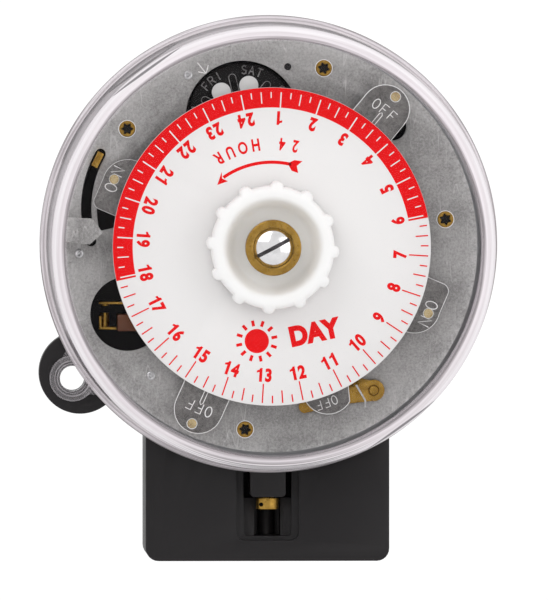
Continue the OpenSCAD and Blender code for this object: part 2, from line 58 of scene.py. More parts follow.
BODY_OF = {n: body for body, names in frame["record"]["behaviour"]["bodies"].items() for n in names}
SLOT_OF = {part["node"]: part["material_slot"] for part in frame["record"]["subparts"]}


# ---- measures taken from the frame -----------------------------------------------------


def front_of(node):
    """Y of the node's front face: the front of the timer looks along -Y."""
    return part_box(node)[0].y


def back_of(node):
    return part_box(node)[1].y


def centre_of(node):
    low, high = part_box(node)
    return (low + high) / 2


def radius_of(node):
    low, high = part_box(node)
    return (high.x - low.x) / 2


def polar(angle, radius, y=0.0):
    return Vector((radius * math.cos(angle), y, radius * math.sin(angle)))


DIAL_R = radius_of("dial_disc")
DIAL_FACE = front_of("dial_disc")
BAND_INNER_R = DIAL_R - 4.8 * MM
HOUR_STEP = math.radians(15)
HOUR_ZERO = math.radians(101.5)
INK = 0.03 * MM


def hour_angle(hour):
    """Direction of an hour's tick on the dial; the numbers run clockwise."""
    return HOUR_ZERO - hour * HOUR_STEP


# ---- finishes: shader maths written as expressions -------------------------------------


class Value:
    """A shader socket that ordinary arithmetic can be written on."""

    def __init__(self, finish, socket):
        self.finish = finish
        self.socket = socket

    def maths(self, operation, a, b=0.0, clamp=False):
        node = self.finish.node("ShaderNodeMath", {"operation": operation, "use_clamp": clamp},
                                {0: a, 1: b})
        return Value(self.finish, node.outputs[0])

    def __add__(self, other):
        return self.maths("ADD", self, other)

    __radd__ = __add__

    def __sub__(self, other):
        return self.maths("SUBTRACT", self, other)

    def __rsub__(self, other):
        return self.maths("SUBTRACT", other, self)

    def __mul__(self, other):
        return self.maths("MULTIPLY", self, other)

    __rmul__ = __mul__

    def __truediv__(self, other):
        return self.maths("DIVIDE", self, other)

    def __abs__(self):
        return self.maths("ABSOLUTE", self)

    def clamped(self):
        return self.maths("ADD", self, 0.0, clamp=True)

    def sine(self):
        return self.maths("SINE", self)


class Finish:
    """One procedural material under construction."""

    def __init__(self, name):
        self.material = bpy.data.materials.new(name)
        self.material.use_nodes = True
        self.tree = self.material.node_tree
        self.tree.nodes.clear()
        self.output = self.node("ShaderNodeOutputMaterial")
        self.shader = self.node("ShaderNodeBsdfPrincipled")
        self.tree.links.new(self.shader.outputs[0], self.output.inputs["Surface"])
        self.place = self.node("ShaderNodeTexCoord").outputs["Object"]

    def node(self, kind, settings=None, inputs=None):
        """Any node, with its settings made before its sockets are filled."""
        node = self.tree.nodes.new(kind)
        for key, value in (settings or {}).items():
            setattr(node, key, value)
        for key, value in (inputs or {}).items():
            self.feed(self.socket(node, key), value)
        return node

    @staticmethod
    def socket(node, key):
        if isinstance(key, int):
            return node.inputs[key]
        for socket in node.inputs:
            if socket.identifier == key:
                return socket
        return node.inputs[key]

    def feed(self, socket, value):
        if isinstance(value, Value):
            value = value.socket
        if isinstance(value, bpy.types.NodeSocket):
            self.tree.links.new(value, socket)
        else:
            socket.default_value = value

    def set(self, **values):
        """Sockets of the shader, by their names with _ for a space."""
        for key, value in values.items():
            self.feed(self.shader.inputs[key.replace("_", " ")], value)
        return self

    def moved(self, centre=(0, 0, 0), turn=(0, 0, 0), scale=(1, 1, 1)):
        """Object coordinates centred, turned and stretched by a Mapping node."""
        turned = self.node("ShaderNodeMapping", {"vector_type": "POINT"},
                           {"Vector": self.place, "Location": [-c for c in centre]})
        node = self.node("ShaderNodeMapping", {"vector_type": "POINT"},
                         {"Vector": turned.outputs[0], "Rotation": turn, "Scale": scale})
        return node.outputs[0]

    def noise(self, scale, detail=3.0, rough=0.55, place=None, warp=0.0):
        node = self.node("ShaderNodeTexNoise", None,
                         {"Vector": place or self.place, "Scale": scale, "Detail": detail,
                          "Roughness": rough, "Distortion": warp})
        return Value(self, node.outputs[0])

    def cells(self, scale, feature="F1", place=None):
        node = self.node("ShaderNodeTexVoronoi", {"feature": feature},
                         {"Vector": place or self.place, "Scale": scale})
        return Value(self, node.outputs[0])

    def radius(self, centre=(0, 0, 0)):
        """Distance from an axis along Y."""
        flat = self.moved(centre, scale=(1, 0, 1))
        node = self.node("ShaderNodeVectorMath", {"operation": "LENGTH"}, {0: flat})
        return Value(self, node.outputs["Value"])

    def parts(self):
        """X, Y and Z of the object coordinates."""
        node = self.node("ShaderNodeSeparateXYZ", None, {0: self.place})
        return [Value(self, socket) for socket in node.outputs]

    def streaks(self, along, across, detail=3.0):
        """Noise drawn out round an axis along Y: long streaks, thin across the radius."""
        flat = self.moved(scale=(1, 0, 1))
        unit = self.node("ShaderNodeVectorMath", {"operation": "NORMALIZE"}, {0: flat})
        x, _, z = self.node("ShaderNodeSeparateXYZ", None, {0: unit.outputs["Vector"]}).outputs
        place = self.node("ShaderNodeCombineXYZ", None,
                          {"X": Value(self, x) * along, "Y": self.radius() * across,
                           "Z": Value(self, z) * along})
        return self.noise(1.0, detail, 0.5, place.outputs[0])

    def ramp(self, value, low, high, stops):
        """Colour bands over a range; the alpha of each stop comes out as well."""
        node = self.node("ShaderNodeValToRGB", None, {0: self.spread(value, low, high)})
        band = node.color_ramp
        while len(band.elements) < len(stops):
            band.elements.new(1.0)
        for element, (at, colour) in zip(band.elements, stops):
            element.position = (at - low) / (high - low)
            element.color = colour
        return node.outputs["Color"], Value(self, node.outputs["Alpha"])

    def spread(self, value, low, high, to_low=0.0, to_high=1.0):
        """Maps a range onto another and clamps it."""
        node = self.node("ShaderNodeMapRange", {"clamp": True},
                         {"Value": value, "From Min": low, "From Max": high,
                          "To Min": to_low, "To Max": to_high})
        return Value(self, node.outputs[0])

    def blend(self, amount, first, second):
        node = self.node("ShaderNodeMix", {"data_type": "RGBA"},
                         {"Factor_Float": amount, "A_Color": first, "B_Color": second})
        return node.outputs["Result_Color"] if "Result_Color" in node.outputs else node.outputs[2]

    def relief(self, height, strength, distance):
        node = self.node("ShaderNodeBump", None,
                         {"Height": height, "Strength": strength, "Distance": distance})
        return node.outputs[0]


def rgb(red, green, blue):
    return (red, green, blue, 1.0)


def scratches(finish, scale, thin, seed_shift):
    """Fine wandering scratches: thin lines where two stretched noises cross their middle."""
    place = finish.moved(centre=(seed_shift, 0, -seed_shift), turn=(0, 0.6 + seed_shift * 9, 0),
                         scale=(1, 1, 0.12))
    line = abs(finish.noise(scale, 1.5, 0.4, place, 0.4) - 0.5)
    gate = finish.spread(finish.noise(scale * 0.35, 2.0, 0.5), 0.54, 0.66)
    return finish.spread(line, 0.0, thin, 1.0, 0.0) * gate


def moulded(name, colour, light, rough=0.42, grain=0.25, shine=0.5):
    """Moulded plastic with a fine spark-eroded grain and slight colour drift."""
    f = Finish(name)
    f.set(Specular_IOR_Level=shine)
    drift = f.noise(60, 3)
    fine = f.noise(2600, 2, 0.6)
    f.set(Base_Color=f.blend(drift, rgb(*colour), rgb(*light)),
          Roughness=f.spread(f.noise(240, 4), 0.3, 0.7, rough - 0.05, rough + 0.07),
          Normal=f.relief(fine, grain, 0.04 * MM))
    return f


def aluminium_plate():
    """Rolled aluminium, mottled by handling, with scratches and small bright nicks."""
    f = Finish("dial_plate_aluminium")
    cloud = f.noise(70, 6, 0.62)
    speck = f.noise(1900, 4, 0.8)
    marks = scratches(f, 420, 0.012, 0.013) + scratches(f, 330, 0.01, 0.041) + scratches(f, 370, 0.01, -0.027)
    nicks = f.spread(f.cells(210), 0.0, 0.06, 1.0, 0.0) * f.spread(f.noise(90), 0.52, 0.62)
    worn = f.spread(f.radius(), 46.5 * MM, 49.5 * MM) * f.spread(f.noise(1200, 3, 0.7), 0.4, 0.62)
    bright = (marks * 0.55 + nicks * 0.9 + worn * 0.45).clamped()
    tone = (cloud * 0.5 + speck * 0.5).clamped()
    body = f.blend(f.spread(tone, 0.4, 0.6), rgb(0.26, 0.253, 0.25), rgb(0.5, 0.49, 0.485))
    f.set(Base_Color=f.blend(bright, body, rgb(0.74, 0.73, 0.73)),
          Metallic=0.55,
          Roughness=f.spread(tone, 0.3, 0.7, 0.5, 0.66),
          Normal=f.relief(speck * 0.6 - bright, 0.2, 0.05 * MM))
    return f


def tappet_finish(name, dark, light):
    """Grey pressed sheet with a coarse, sparkling tooth."""
    f = Finish(name)
    tooth = f.noise(1500, 4, 0.85)
    cloud = f.noise(160, 4)
    f.set(Base_Color=f.blend(f.spread(tooth * 0.7 + cloud * 0.3, 0.36, 0.64), rgb(*dark), rgb(*light)),
          Metallic=0.7,
          Roughness=f.spread(tooth, 0.3, 0.7, 0.38, 0.6),
          Normal=f.relief(tooth, 0.3, 0.03 * MM))
    return f


def bright_edge():
    """Sheared and deburred metal edge, lightened to near white: partly bare metal, partly a painted highlight
    on the rounded edges.
    """
    f = Finish("sheared_edge_highlight")
    f.set(Base_Color=f.blend(f.noise(900, 3), rgb(0.82, 0.81, 0.81), rgb(0.97, 0.97, 0.97)),
          Metallic=0.15, Roughness=f.spread(f.noise(1500, 2), 0.3, 0.7, 0.3, 0.45))
    return f


def turned_metal(name, colour, shade, centre=(0, 0, 0), rough=0.24, rings=9000.0):
    """Turned metal: fine tool rings about an axis along Y, with a little tarnish."""
    f = Finish(name)
    ring = (f.radius(centre) * rings + f.noise(700, 2) * 2.0).sine() * 0.5 + 0.5
    tarnish = f.spread(f.noise(420, 5, 0.7), 0.35, 0.68)
    f.set(Base_Color=f.blend(tarnish, rgb(*colour), rgb(*shade)),
          Metallic=1.0,
          Roughness=f.spread(f.noise(1300, 3), 0.3, 0.7, rough - 0.06, rough + 0.14),
          Normal=f.relief(ring, 0.12, 0.01 * MM))
    return f


def drawn_metal(name, colour, shade, rough=0.3):
    """Drawn or pressed metal with faint streaks."""
    f = Finish(name)
    streak = f.noise(900, 3, 0.6, f.moved(scale=(0.12, 1, 1)))
    f.set(Base_Color=f.blend(f.spread(streak, 0.3, 0.7), rgb(*colour), rgb(*shade)),
          Metallic=1.0,
          Roughness=f.spread(streak, 0.3, 0.7, rough - 0.06, rough + 0.12),
          Normal=f.relief(streak, 0.1, 0.01 * MM))
    return f


def dial_enamel():
    """White printed disc, slightly warm, with faint handling haze."""
    f = Finish("dial_enamel")
    haze = f.noise(38, 4, 0.6)
    f.set(Base_Color=f.blend(haze, rgb(0.86, 0.845, 0.84), rgb(0.9, 0.89, 0.885)),
          Roughness=f.spread(f.noise(300, 4), 0.3, 0.7, 0.34, 0.46),
          Coat_Weight=f.spread(haze, 0.3, 0.7, 0.05, 0.16),
          Normal=f.relief(f.noise(1700, 2), 0.05, 0.02 * MM))
    return f


def printing_ink(name, colour, light, shine=0.2):
    """Screen-printed ink with a slightly uneven film."""
    f = Finish(name)
    f.set(Specular_IOR_Level=shine)
    film = f.noise(900, 4, 0.65)
    f.set(Base_Color=f.blend(f.spread(film, 0.35, 0.7), rgb(*colour), rgb(*light)),
          Roughness=f.spread(film, 0.3, 0.7, 0.36, 0.5),
          Normal=f.relief(film, 0.08, 0.01 * MM))
    return f


def clear_cover():
    """Clear moulding: an almost unseen pane inside a rim whose bands of light and shade are painted into its
    colour and alpha by radius.
    """
    f = Finish("clear_cover")
    radius = f.radius()
    x, y, z = f.parts()
    streak = f.streaks(3.0, 2400.0)
    drift = (streak - 0.5) * 1.1 * MM
    # Painted light and shade: the rim's dark and near-white bands by radius stand in for reflection and
    # refraction in the clear plastic.
    lilac, shade = (0.88, 0.82, 0.86), (0.5, 0.45, 0.475)
    stops = ((49.35, (*lilac, 0.003)), (49.75, (*shade, 0.25)),
             (50.05, (0.25, 0.23, 0.24, 0.8)), (50.35, (*shade, 0.85)),
             (50.8, (*lilac, 0.93)), (51.5, (0.78, 0.72, 0.75, 0.93)), (52.2, (0.97, 0.93, 0.96, 0.95)),
             (52.9, (*lilac, 0.92)), (53.25, (0.42, 0.38, 0.4, 0.92)), (53.6, (0.86, 0.8, 0.83, 0.92)),
             (54.1, (*shade, 0.9)), (54.5, (*lilac, 0.9)), (54.95, (0.27, 0.24, 0.25, 0.92)))
    bands, cover = f.ramp(radius + drift, 48.0 * MM, 56.0 * MM, [(at * MM, c) for at, c in stops])
    # Painted shade: a dark wedge along each bayonet ramp and a thin dark line beside it, standing in for how
    # the ramps look through the clear plastic.
    turn = f.node("ShaderNodeMath", {"operation": "ARCTAN2"}, {0: z, 1: x}).outputs[0]
    half_turn = (Value(f, turn) + 2 * math.pi).maths("MODULO", Value(f, turn) + 2 * math.pi, math.pi)
    reach = f.spread(half_turn, 1.99, 2.4)
    swell = (reach * math.pi).sine()
    ramp_edge = abs(radius - (52.95 * MM - swell * 0.75 * MM))
    thickness = swell * 0.3 * MM + 0.02 * MM
    ramp_wedge_shade = f.spread(ramp_edge / thickness, 0.6, 1.3, 1.0, 0.0) * f.spread(swell, 0.02, 0.2)
    line_gate = f.spread(half_turn, 1.99, 2.02) * f.spread(half_turn, 2.74, 2.78, 1.0, 0.0)
    line = f.spread(abs(radius - 53.45 * MM), 0.08 * MM, 0.2 * MM, 1.0, 0.0) * line_gate
    mark = (ramp_wedge_shade + line).clamped()
    # Dark streaks in the rim, darker towards the bottom.
    low = f.spread(z, -51.5 * MM, -44.0 * MM, 1.0, 0.0)
    low_rim_darkening = f.spread(f.streaks(1.2, 5200.0, 2), 0.42, 0.56) * low * f.spread(radius, 50.6 * MM, 51.6 * MM)
    colour = f.blend(mark * 0.85, f.blend(low_rim_darkening * 0.75, bands, rgb(0.12, 0.11, 0.12)), rgb(0.1, 0.09, 0.1))
    wall = f.spread(y, back_of("cover_shell") - 4.5 * MM, back_of("cover_shell") - 3.0 * MM, 1.0, 0.0)
    front = f.spread(y, front_of("cover_shell") + 2.9 * MM, front_of("cover_shell") + 3.6 * MM)
    side = wall * front
    clear = cover * (1 - side * 0.8)
    f.set(Base_Color=colour, Roughness=f.spread(f.noise(90, 3), 0.3, 0.7, 0.03, 0.08), IOR=1.49, Alpha=clear,
          Coat_Weight=f.spread(streak, 0.3, 0.7, 0.2, 0.5),
          Normal=f.relief(f.noise(45, 2), 0.02, 0.05 * MM))
    return f


def clear_plain():
    """Clear moulding where it is thick: faint body, bright where it turns away."""
    f = Finish("clear_plain")
    turned = f.node("ShaderNodeLayerWeight", None, {"Blend": 0.35}).outputs["Facing"]
    drift = f.noise(160, 3)
    f.set(Base_Color=f.blend(drift, rgb(0.8, 0.76, 0.79), rgb(0.92, 0.88, 0.91)),
          Roughness=f.spread(drift, 0.3, 0.7, 0.03, 0.09), IOR=1.49,
          Alpha=f.spread(Value(f, turned), 0.1, 0.85, 0.1, 0.8),
          Normal=f.relief(f.noise(200, 2), 0.05, 0.05 * MM))
    return f


def circuit_board_finish():
    """Green board with copper tracks under the lacquer."""
    f = Finish("board_green")
    track = f.spread(abs(f.noise(240, 1, 0.3) - 0.5), 0.02, 0.04, 1.0, 0.0)
    f.set(Base_Color=f.blend(track, rgb(0.02, 0.12, 0.05), rgb(0.08, 0.27, 0.1)),
          Roughness=f.spread(f.noise(500, 3), 0.3, 0.7, 0.3, 0.42),
          Normal=f.relief(track, 0.3, 0.03 * MM))
    return f


COLLAR = centre_of("brass_collar")
FINISHES = {
    "black_moulding": moulded("black_moulding", (0.011, 0.0095, 0.0105), (0.017, 0.015, 0.016),
                              0.42, 0.3, 0.25),
    "clear_cover": clear_cover(),
    "gasket_silicone": moulded("gasket_silicone", (0.5, 0.5, 0.52), (0.62, 0.62, 0.64), 0.5),
    "dial_plate_aluminium": aluminium_plate(),
    "dial_enamel": dial_enamel(),
    "knob_white": moulded("knob_white", (0.93, 0.93, 0.915), (0.96, 0.96, 0.95), 0.36, 0.12, 0.3),
    "brass": turned_metal("brass", (0.45, 0.27, 0.06), (0.27, 0.15, 0.028), COLLAR, 0.3),
    "bright_steel": turned_metal("bright_steel", (0.9, 0.89, 0.9), (0.8, 0.79, 0.8), COLLAR, 0.12),
    "steel": drawn_metal("steel", (0.6, 0.6, 0.61), (0.45, 0.44, 0.45)),
    "tappet_steel": tappet_finish("tappet_steel", (0.09, 0.086, 0.084), (0.27, 0.26, 0.255)),
    "tappet_pin": turned_metal("tappet_pin", (0.62, 0.5, 0.3), (0.5, 0.38, 0.2)),
    "day_wheel_black": moulded("day_wheel_black", (0.004, 0.0035, 0.0037), (0.008, 0.007, 0.0075),
                               0.36, 0.3, 0.2),
    "skip_pin_white": moulded("skip_pin_white", (0.9, 0.9, 0.89), (0.94, 0.94, 0.93), 0.35),
    "nylon_natural": moulded("nylon_natural", (0.66, 0.62, 0.52), (0.74, 0.7, 0.6), 0.4),
    "contact_base_orange": moulded("contact_base_orange", (0.16, 0.045, 0.012), (0.24, 0.07, 0.018), 0.4),
    "lever_black": moulded("lever_black", (0.012, 0.011, 0.0115), (0.022, 0.02, 0.021), 0.36, 0.25, 0.3),
    "board_green": circuit_board_finish(),
    "component_black": moulded("component_black", (0.012, 0.012, 0.013), (0.02, 0.02, 0.022),
                               0.45, 0.25, 0.3),
    "battery_sleeve": moulded("battery_sleeve", (0.06, 0.16, 0.04), (0.09, 0.22, 0.06), 0.3),
    "frame_grey": moulded("frame_grey", (0.02, 0.019, 0.02), (0.03, 0.028, 0.03), 0.5, 0.25, 0.3),
}
FINISHES["knob_white"].set(Subsurface_Weight=0.5, Subsurface_Radius=(1.0, 1.0, 0.95), Subsurface_Scale=5 * MM)
RED_INK = printing_ink("red_ink", (0.82, 0.002, 0.004), (0.87, 0.005, 0.008), 0.12)
WHITE_INK = printing_ink("white_ink", (0.84, 0.83, 0.82), (0.9, 0.89, 0.88))
ENGRAVING = printing_ink("engraving", (0.72, 0.71, 0.71), (0.95, 0.94, 0.94))
MOULDED_MARK = printing_ink("moulded_mark", (0.12, 0.115, 0.115), (0.4, 0.39, 0.39))
# Painted shade: near-black finish for the hollows of the staked pillar ends.
HOLE_PAINTED_SHADE = moulded("hole_painted_shade", (0.006, 0.005, 0.004), (0.012, 0.01, 0.008), 0.6, 0.2, 0.2)
# Painted shade: dark finish for the screw's slot.
SLOT_PAINTED_SHADE = drawn_metal("slot_painted_shade", (0.09, 0.085, 0.09), (0.04, 0.036, 0.038), 0.5)
# Bright edge finish: painted highlight on rounded metal edges.
EDGE_HIGHLIGHT = bright_edge()


# ---- making and placing pieces ---------------------------------------------------------


def piece(name, bm, finish, body, stands_for=(), edge=None, crease=35):
    """Turns a bmesh into a finished piece that rides on a body."""
    for face in bm.faces:
        face.smooth = True
    limit = math.radians(crease)
    for e in bm.edges:
        e.smooth = len(e.link_faces) == 2 and e.calc_face_angle() < limit
    mesh = bpy.data.meshes.new(name)
    bm.to_mesh(mesh)
    bm.free()
    obj = bpy.data.objects.new(name, mesh)
    bpy.context.scene.collection.objects.link(obj)
    mesh.materials.append(finish.material)
    if edge:
        mesh.materials.append(edge.material)
    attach(obj, body)
    if stands_for:
        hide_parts(*stands_for)
    return obj


def refined(node, width, finish=None, edge=None, segments=2):
    """A closed copy of a CAD node with its sharp edges rounded; it stands for the node."""
    bm = bmesh.new()
    bm.from_mesh(NODES[node].data)
    bmesh.ops.remove_doubles(bm, verts=bm.verts, dist=0.001 * MM)
    bmesh.ops.dissolve_limit(bm, angle_limit=math.radians(0.3), verts=bm.verts, edges=bm.edges)
    mesh = bpy.data.meshes.new(node + "_base")
    bm.to_mesh(mesh)
    bm.free()
    obj = bpy.data.objects.new(node + "_base", mesh)
    bpy.context.scene.collection.objects.link(obj)
    finish = finish or FINISHES[SLOT_OF[node]]
    mesh.materials.append(finish.material)
    bevel = obj.modifiers.new("rounded_edges", "BEVEL")
    bevel.width = width
    bevel.segments = segments
    bevel.limit_method = "ANGLE"
    bevel.angle_limit = math.radians(35)
    bevel.use_clamp_overlap = True
    bevel.miter_outer = "MITER_ARC"
    if edge:
        mesh.materials.append(edge.material)
        bevel.material = 1
    bpy.context.view_layer.update()
    result = bpy.data.meshes.new_from_object(obj.evaluated_get(bpy.context.evaluated_depsgraph_get()))
    bpy.data.objects.remove(obj)
    bm = bmesh.new()
    bm.from_mesh(result)
    bpy.data.meshes.remove(result)
    return piece(node + "_finished", bm, finish, BODY_OF[node], (node,), edge)


def lathe(bm, profile, axis=(0.0, 0.0), steps=128, swell=None):
    """Revolves [radius, y] points about an axis along Y; the profile is a closed loop
    unless it starts and ends on the axis."""
    rings = []
    for radius, y in profile:
        if radius < 1e-9:
            rings.append([bm.verts.new((axis[0], y, axis[1]))])
            continue
        ring = []
        for k in range(steps):
            angle = 2 * math.pi * k / steps
            r = radius + (swell(angle, radius, y) if swell else 0.0)
            ring.append(bm.verts.new((axis[0] + r * math.cos(angle), y, axis[1] + r * math.sin(angle))))
        rings.append(ring)
    closed = len(rings[0]) > 1
    pairs = list(zip(rings, rings[1:])) + ([(rings[-1], rings[0])] if closed else [])
    faces = []
    for first, second in pairs:
        for k in range(steps):
            after = (k + 1) % steps
            loop = []
            loop += [first[0]] if len(first) == 1 else [first[k], first[after]]
            loop += [second[0]] if len(second) == 1 else [second[after], second[k]]
            faces.append(bm.faces.new(loop))
    bmesh.ops.recalc_face_normals(bm, faces=faces)


def arc_points(centre, radius, start, end, steps):
    """Points [r, y] along an arc, by angle in degrees from the radial direction."""
    return [(centre[0] + radius * math.cos(math.radians(start + (end - start) * i / steps)),
             centre[1] - radius * math.sin(math.radians(start + (end - start) * i / steps)))
            for i in range(steps + 1)]


def sheet(bm, outline, y_back, y_front):
    """A flat closed plate from an X-Z outline."""
    back = [bm.verts.new((x, y_back, z)) for x, z in outline]
    front = [bm.verts.new((x, y_front, z)) for x, z in outline]
    faces = [bm.faces.new(back), bm.faces.new(front)]
    count = len(outline)
    for i in range(count):
        j = (i + 1) % count
        faces.append(bm.faces.new((back[i], back[j], front[j], front[i])))
    bmesh.ops.recalc_face_normals(bm, faces=faces)


def stroke(bm, points, width, y_back, y_front, closed=False):
    """A flat line of even width through X-Z points, as one joined strip."""
    count = len(points)
    lefts, rights = [], []
    for i, point in enumerate(points):
        before = points[i - 1] if (i or closed) else point
        after = points[(i + 1) % count] if (i < count - 1 or closed) else point
        along = (Vector(after) - Vector(before)).normalized()
        side = Vector((-along[1], along[0])) * width / 2
        lefts.append(Vector(point) + side)
        rights.append(Vector(point) - side)
    spans = count if closed else count - 1
    layers = [[[bm.verts.new((p[0], y, p[1])) for p in row] for row in (lefts, rights)]
              for y in (y_back, y_front)]
    faces = []
    for i in range(spans):
        j = (i + 1) % count
        (bl, br), (fl, fr) = layers
        faces += [bm.faces.new((bl[i], bl[j], br[j], br[i])), bm.faces.new((fl[i], fr[i], fr[j], fl[j])),
                  bm.faces.new((bl[i], fl[i], fl[j], bl[j])), bm.faces.new((br[i], br[j], fr[j], fr[i]))]
    if not closed:
        for i in (0, count - 1):
            faces.append(bm.faces.new((layers[0][0][i], layers[0][1][i], layers[1][1][i], layers[1][0][i])))
    bmesh.ops.recalc_face_normals(bm, faces=faces)


def circle_points(centre, radius, steps=24):
    return [(centre[0] + radius * math.cos(2 * math.pi * k / steps),
             centre[1] + radius * math.sin(2 * math.pi * k / steps)) for k in range(steps)]


# ---- lettering -------------------------------------------------------------------------


def letter_mesh(text, height, narrow, weight):
    """Filled letters as a flat mesh, scaled to an exact height and centred."""
    curve = bpy.data.curves.new("letters", "FONT")
    curve.body = text
    curve.offset = weight
    curve.space_character = 1.04
    curve.extrude = 0.01
    curve.resolution_u = 6
    obj = bpy.data.objects.new("letters", curve)
    bpy.context.scene.collection.objects.link(obj)
    bpy.context.view_layer.update()
    mesh = bpy.data.meshes.new_from_object(obj.evaluated_get(bpy.context.evaluated_depsgraph_get()))
    bpy.data.objects.remove(obj)
    xs = [v.co.x for v in mesh.vertices]
    ys = [v.co.y for v in mesh.vertices]
    grow = height / (max(ys) - min(ys))
    mesh.transform(Matrix.Translation((-(max(xs) + min(xs)) / 2, -(max(ys) + min(ys)) / 2, 0)))
    mesh.transform(Matrix.Diagonal((grow * narrow, grow, INK / 0.02, 1)))
    return mesh


def add_letters(bm, text, height, place, turn, narrow=0.8, weight=0.03):
    """Letters facing the front, with their middle at place, turned anticlockwise."""
    mesh = letter_mesh(text, height, narrow, weight)
    mesh.transform(Matrix.Translation(place) @ Matrix.Rotation(-turn, 4, "Y")
                   @ Matrix.Rotation(math.pi / 2, 4, "X"))
    bm.from_mesh(mesh)
    bpy.data.meshes.remove(mesh)


STROKES = {
    "O": [[(0.3 + 0.3 * math.cos(k * math.pi / 8), 0.5 + 0.5 * math.sin(k * math.pi / 8))
           for k in range(17)]],
    "N": [[(0, 0), (0, 1), (0.6, 0), (0.6, 1)]],
    "F": [[(0, 0), (0, 1), (0.55, 1)], [(0, 0.5), (0.42, 0.5)]],
    "S": [[(0.05, 0.1), (0.3, 0), (0.55, 0.12), (0.55, 0.38), (0.1, 0.6), (0.08, 0.86),
           (0.3, 1), (0.52, 0.92)]],
    "A": [[(0, 0), (0.3, 1), (0.6, 0)], [(0.13, 0.4), (0.47, 0.4)]],
    "T": [[(0, 1), (0.6, 1)], [(0.3, 1), (0.3, 0)]],
    "R": [[(0, 0), (0, 1), (0.4, 1), (0.55, 0.85), (0.55, 0.65), (0.4, 0.5), (0, 0.5)],
          [(0.3, 0.5), (0.58, 0)]],
    "I": [[(0.3, 0), (0.3, 1)]],
    "U": [[(0, 1), (0, 0.25), (0.15, 0), (0.45, 0), (0.6, 0.25), (0.6, 1)]],
    "M": [[(0, 0), (0, 1), (0.3, 0.4), (0.6, 1), (0.6, 0)]],
    "D": [[(0, 0), (0, 1), (0.35, 1), (0.6, 0.75), (0.6, 0.25), (0.35, 0), (0, 0)]],
    "W": [[(0, 1), (0.15, 0), (0.3, 0.6), (0.45, 0), (0.6, 1)]],
    "H": [[(0, 0), (0, 1)], [(0.6, 0), (0.6, 1)], [(0, 0.5), (0.6, 0.5)]],
    "E": [[(0.55, 0), (0, 0), (0, 1), (0.55, 1)], [(0, 0.5), (0.45, 0.5)]],
}


def add_strokes(bm, word, height, centre, turn, radius, y_back, y_front, width, pitch=0.95):
    """Single-line letters set round an arc, with their tops outwards."""
    step = pitch * height / radius
    first = turn + step * (len(word) - 1) / 2
    for k, letter in enumerate(word):
        angle = first - k * step
        out = Vector((math.cos(angle), math.sin(angle)))
        right = Vector((out.y, -out.x))
        for line in STROKES[letter]:
            points = [Vector(centre) + out * (radius + (v - 0.5) * height) + right * (u - 0.3) * height
                      for u, v in line]
            stroke(bm, [tuple(p) for p in points], width, y_back, y_front)


# ---- geometry nodes: marks and small pieces repeated round an axis ---------------------


def ring_of_marks_tree():
    """Boxes set round an axis along Y, each with its length on the radius."""
    tree = bpy.data.node_groups.new("ring_of_marks", "GeometryNodeTree")
    face = tree.interface
    for name, kind in (("Count", "NodeSocketInt"), ("Start", "NodeSocketFloat"), ("Step", "NodeSocketFloat"),
                       ("Inner radius", "NodeSocketFloat"), ("Outer radius", "NodeSocketFloat"),
                       ("Width", "NodeSocketFloat"), ("Thickness", "NodeSocketFloat"),
                       ("Depth", "NodeSocketFloat"), ("Finish", "NodeSocketMaterial")):
        face.new_socket(name, in_out="INPUT", socket_type=kind)
    face.new_socket("Geometry", in_out="OUTPUT", socket_type="NodeSocketGeometry")

    def node(kind, settings=None, inputs=None):
        made = tree.nodes.new(kind)
        for key, value in (settings or {}).items():
            setattr(made, key, value)
        for key, value in (inputs or {}).items():
            if isinstance(value, bpy.types.NodeSocket):
                tree.links.new(value, made.inputs[key])
            else:
                made.inputs[key].default_value = value
        return made

    def maths(operation, a, b=0.0):
        return node("ShaderNodeMath", {"operation": operation}, {0: a, 1: b}).outputs[0]

    given = tree.nodes.new("NodeGroupInput").outputs
    index = tree.nodes.new("GeometryNodeInputIndex").outputs[0]
    angle = maths("ADD", given["Start"], maths("MULTIPLY", index, given["Step"]))
    middle = maths("MULTIPLY", maths("ADD", given["Inner radius"], given["Outer radius"]), 0.5)
    length = maths("SUBTRACT", given["Outer radius"], given["Inner radius"])
    spot = node("ShaderNodeCombineXYZ", None,
                {"X": maths("MULTIPLY", middle, maths("COSINE", angle)), "Y": given["Depth"],
                 "Z": maths("MULTIPLY", middle, maths("SINE", angle))})
    turn = node("ShaderNodeCombineXYZ", None, {"Y": maths("MULTIPLY", angle, -1.0)})
    size = node("ShaderNodeCombineXYZ", None, {"X": length, "Y": given["Thickness"], "Z": given["Width"]})
    points = node("GeometryNodePoints", None, {"Count": given["Count"], "Position": spot.outputs[0]})
    mark = node("GeometryNodeMeshCube", None, {"Size": size.outputs[0]})
    placed = node("GeometryNodeInstanceOnPoints", None,
                  {"Points": points.outputs[0], "Instance": mark.outputs[0]})
    tree.links.new(turn.outputs[0], placed.inputs["Rotation"])
    solid = node("GeometryNodeRealizeInstances", None, {"Geometry": placed.outputs[0]})
    named = node("GeometryNodeSetMaterial", None,
                 {"Geometry": solid.outputs[0], "Material": given["Finish"]})
    tree.links.new(named.outputs[0], tree.nodes.new("NodeGroupOutput").inputs[0])
    return tree


MARKS = ring_of_marks_tree()


def add_marks(bm, count, start, step, inner, outer, width, y, finish, thickness=INK * 2):
    """Evaluates the ring of marks and adds its mesh to a piece."""
    obj = bpy.data.objects.new("marks", bpy.data.meshes.new("marks"))
    bpy.context.scene.collection.objects.link(obj)
    modifier = obj.modifiers.new("marks", "NODES")
    modifier.node_group = MARKS
    values = {"Count": count, "Start": start, "Step": step, "Inner radius": inner, "Outer radius": outer,
              "Width": width, "Thickness": thickness, "Depth": y, "Finish": finish.material}
    for item in MARKS.interface.items_tree:
        if item.in_out == "INPUT":
            modifier[item.identifier] = values[item.name]
    bpy.context.view_layer.update()
    mesh = bpy.data.meshes.new_from_object(obj.evaluated_get(bpy.context.evaluated_depsgraph_get()))
    bpy.data.objects.remove(obj)
    bm.from_mesh(mesh)
    bpy.data.meshes.remove(mesh)


# ---- the dial's print ------------------------------------------------------------------


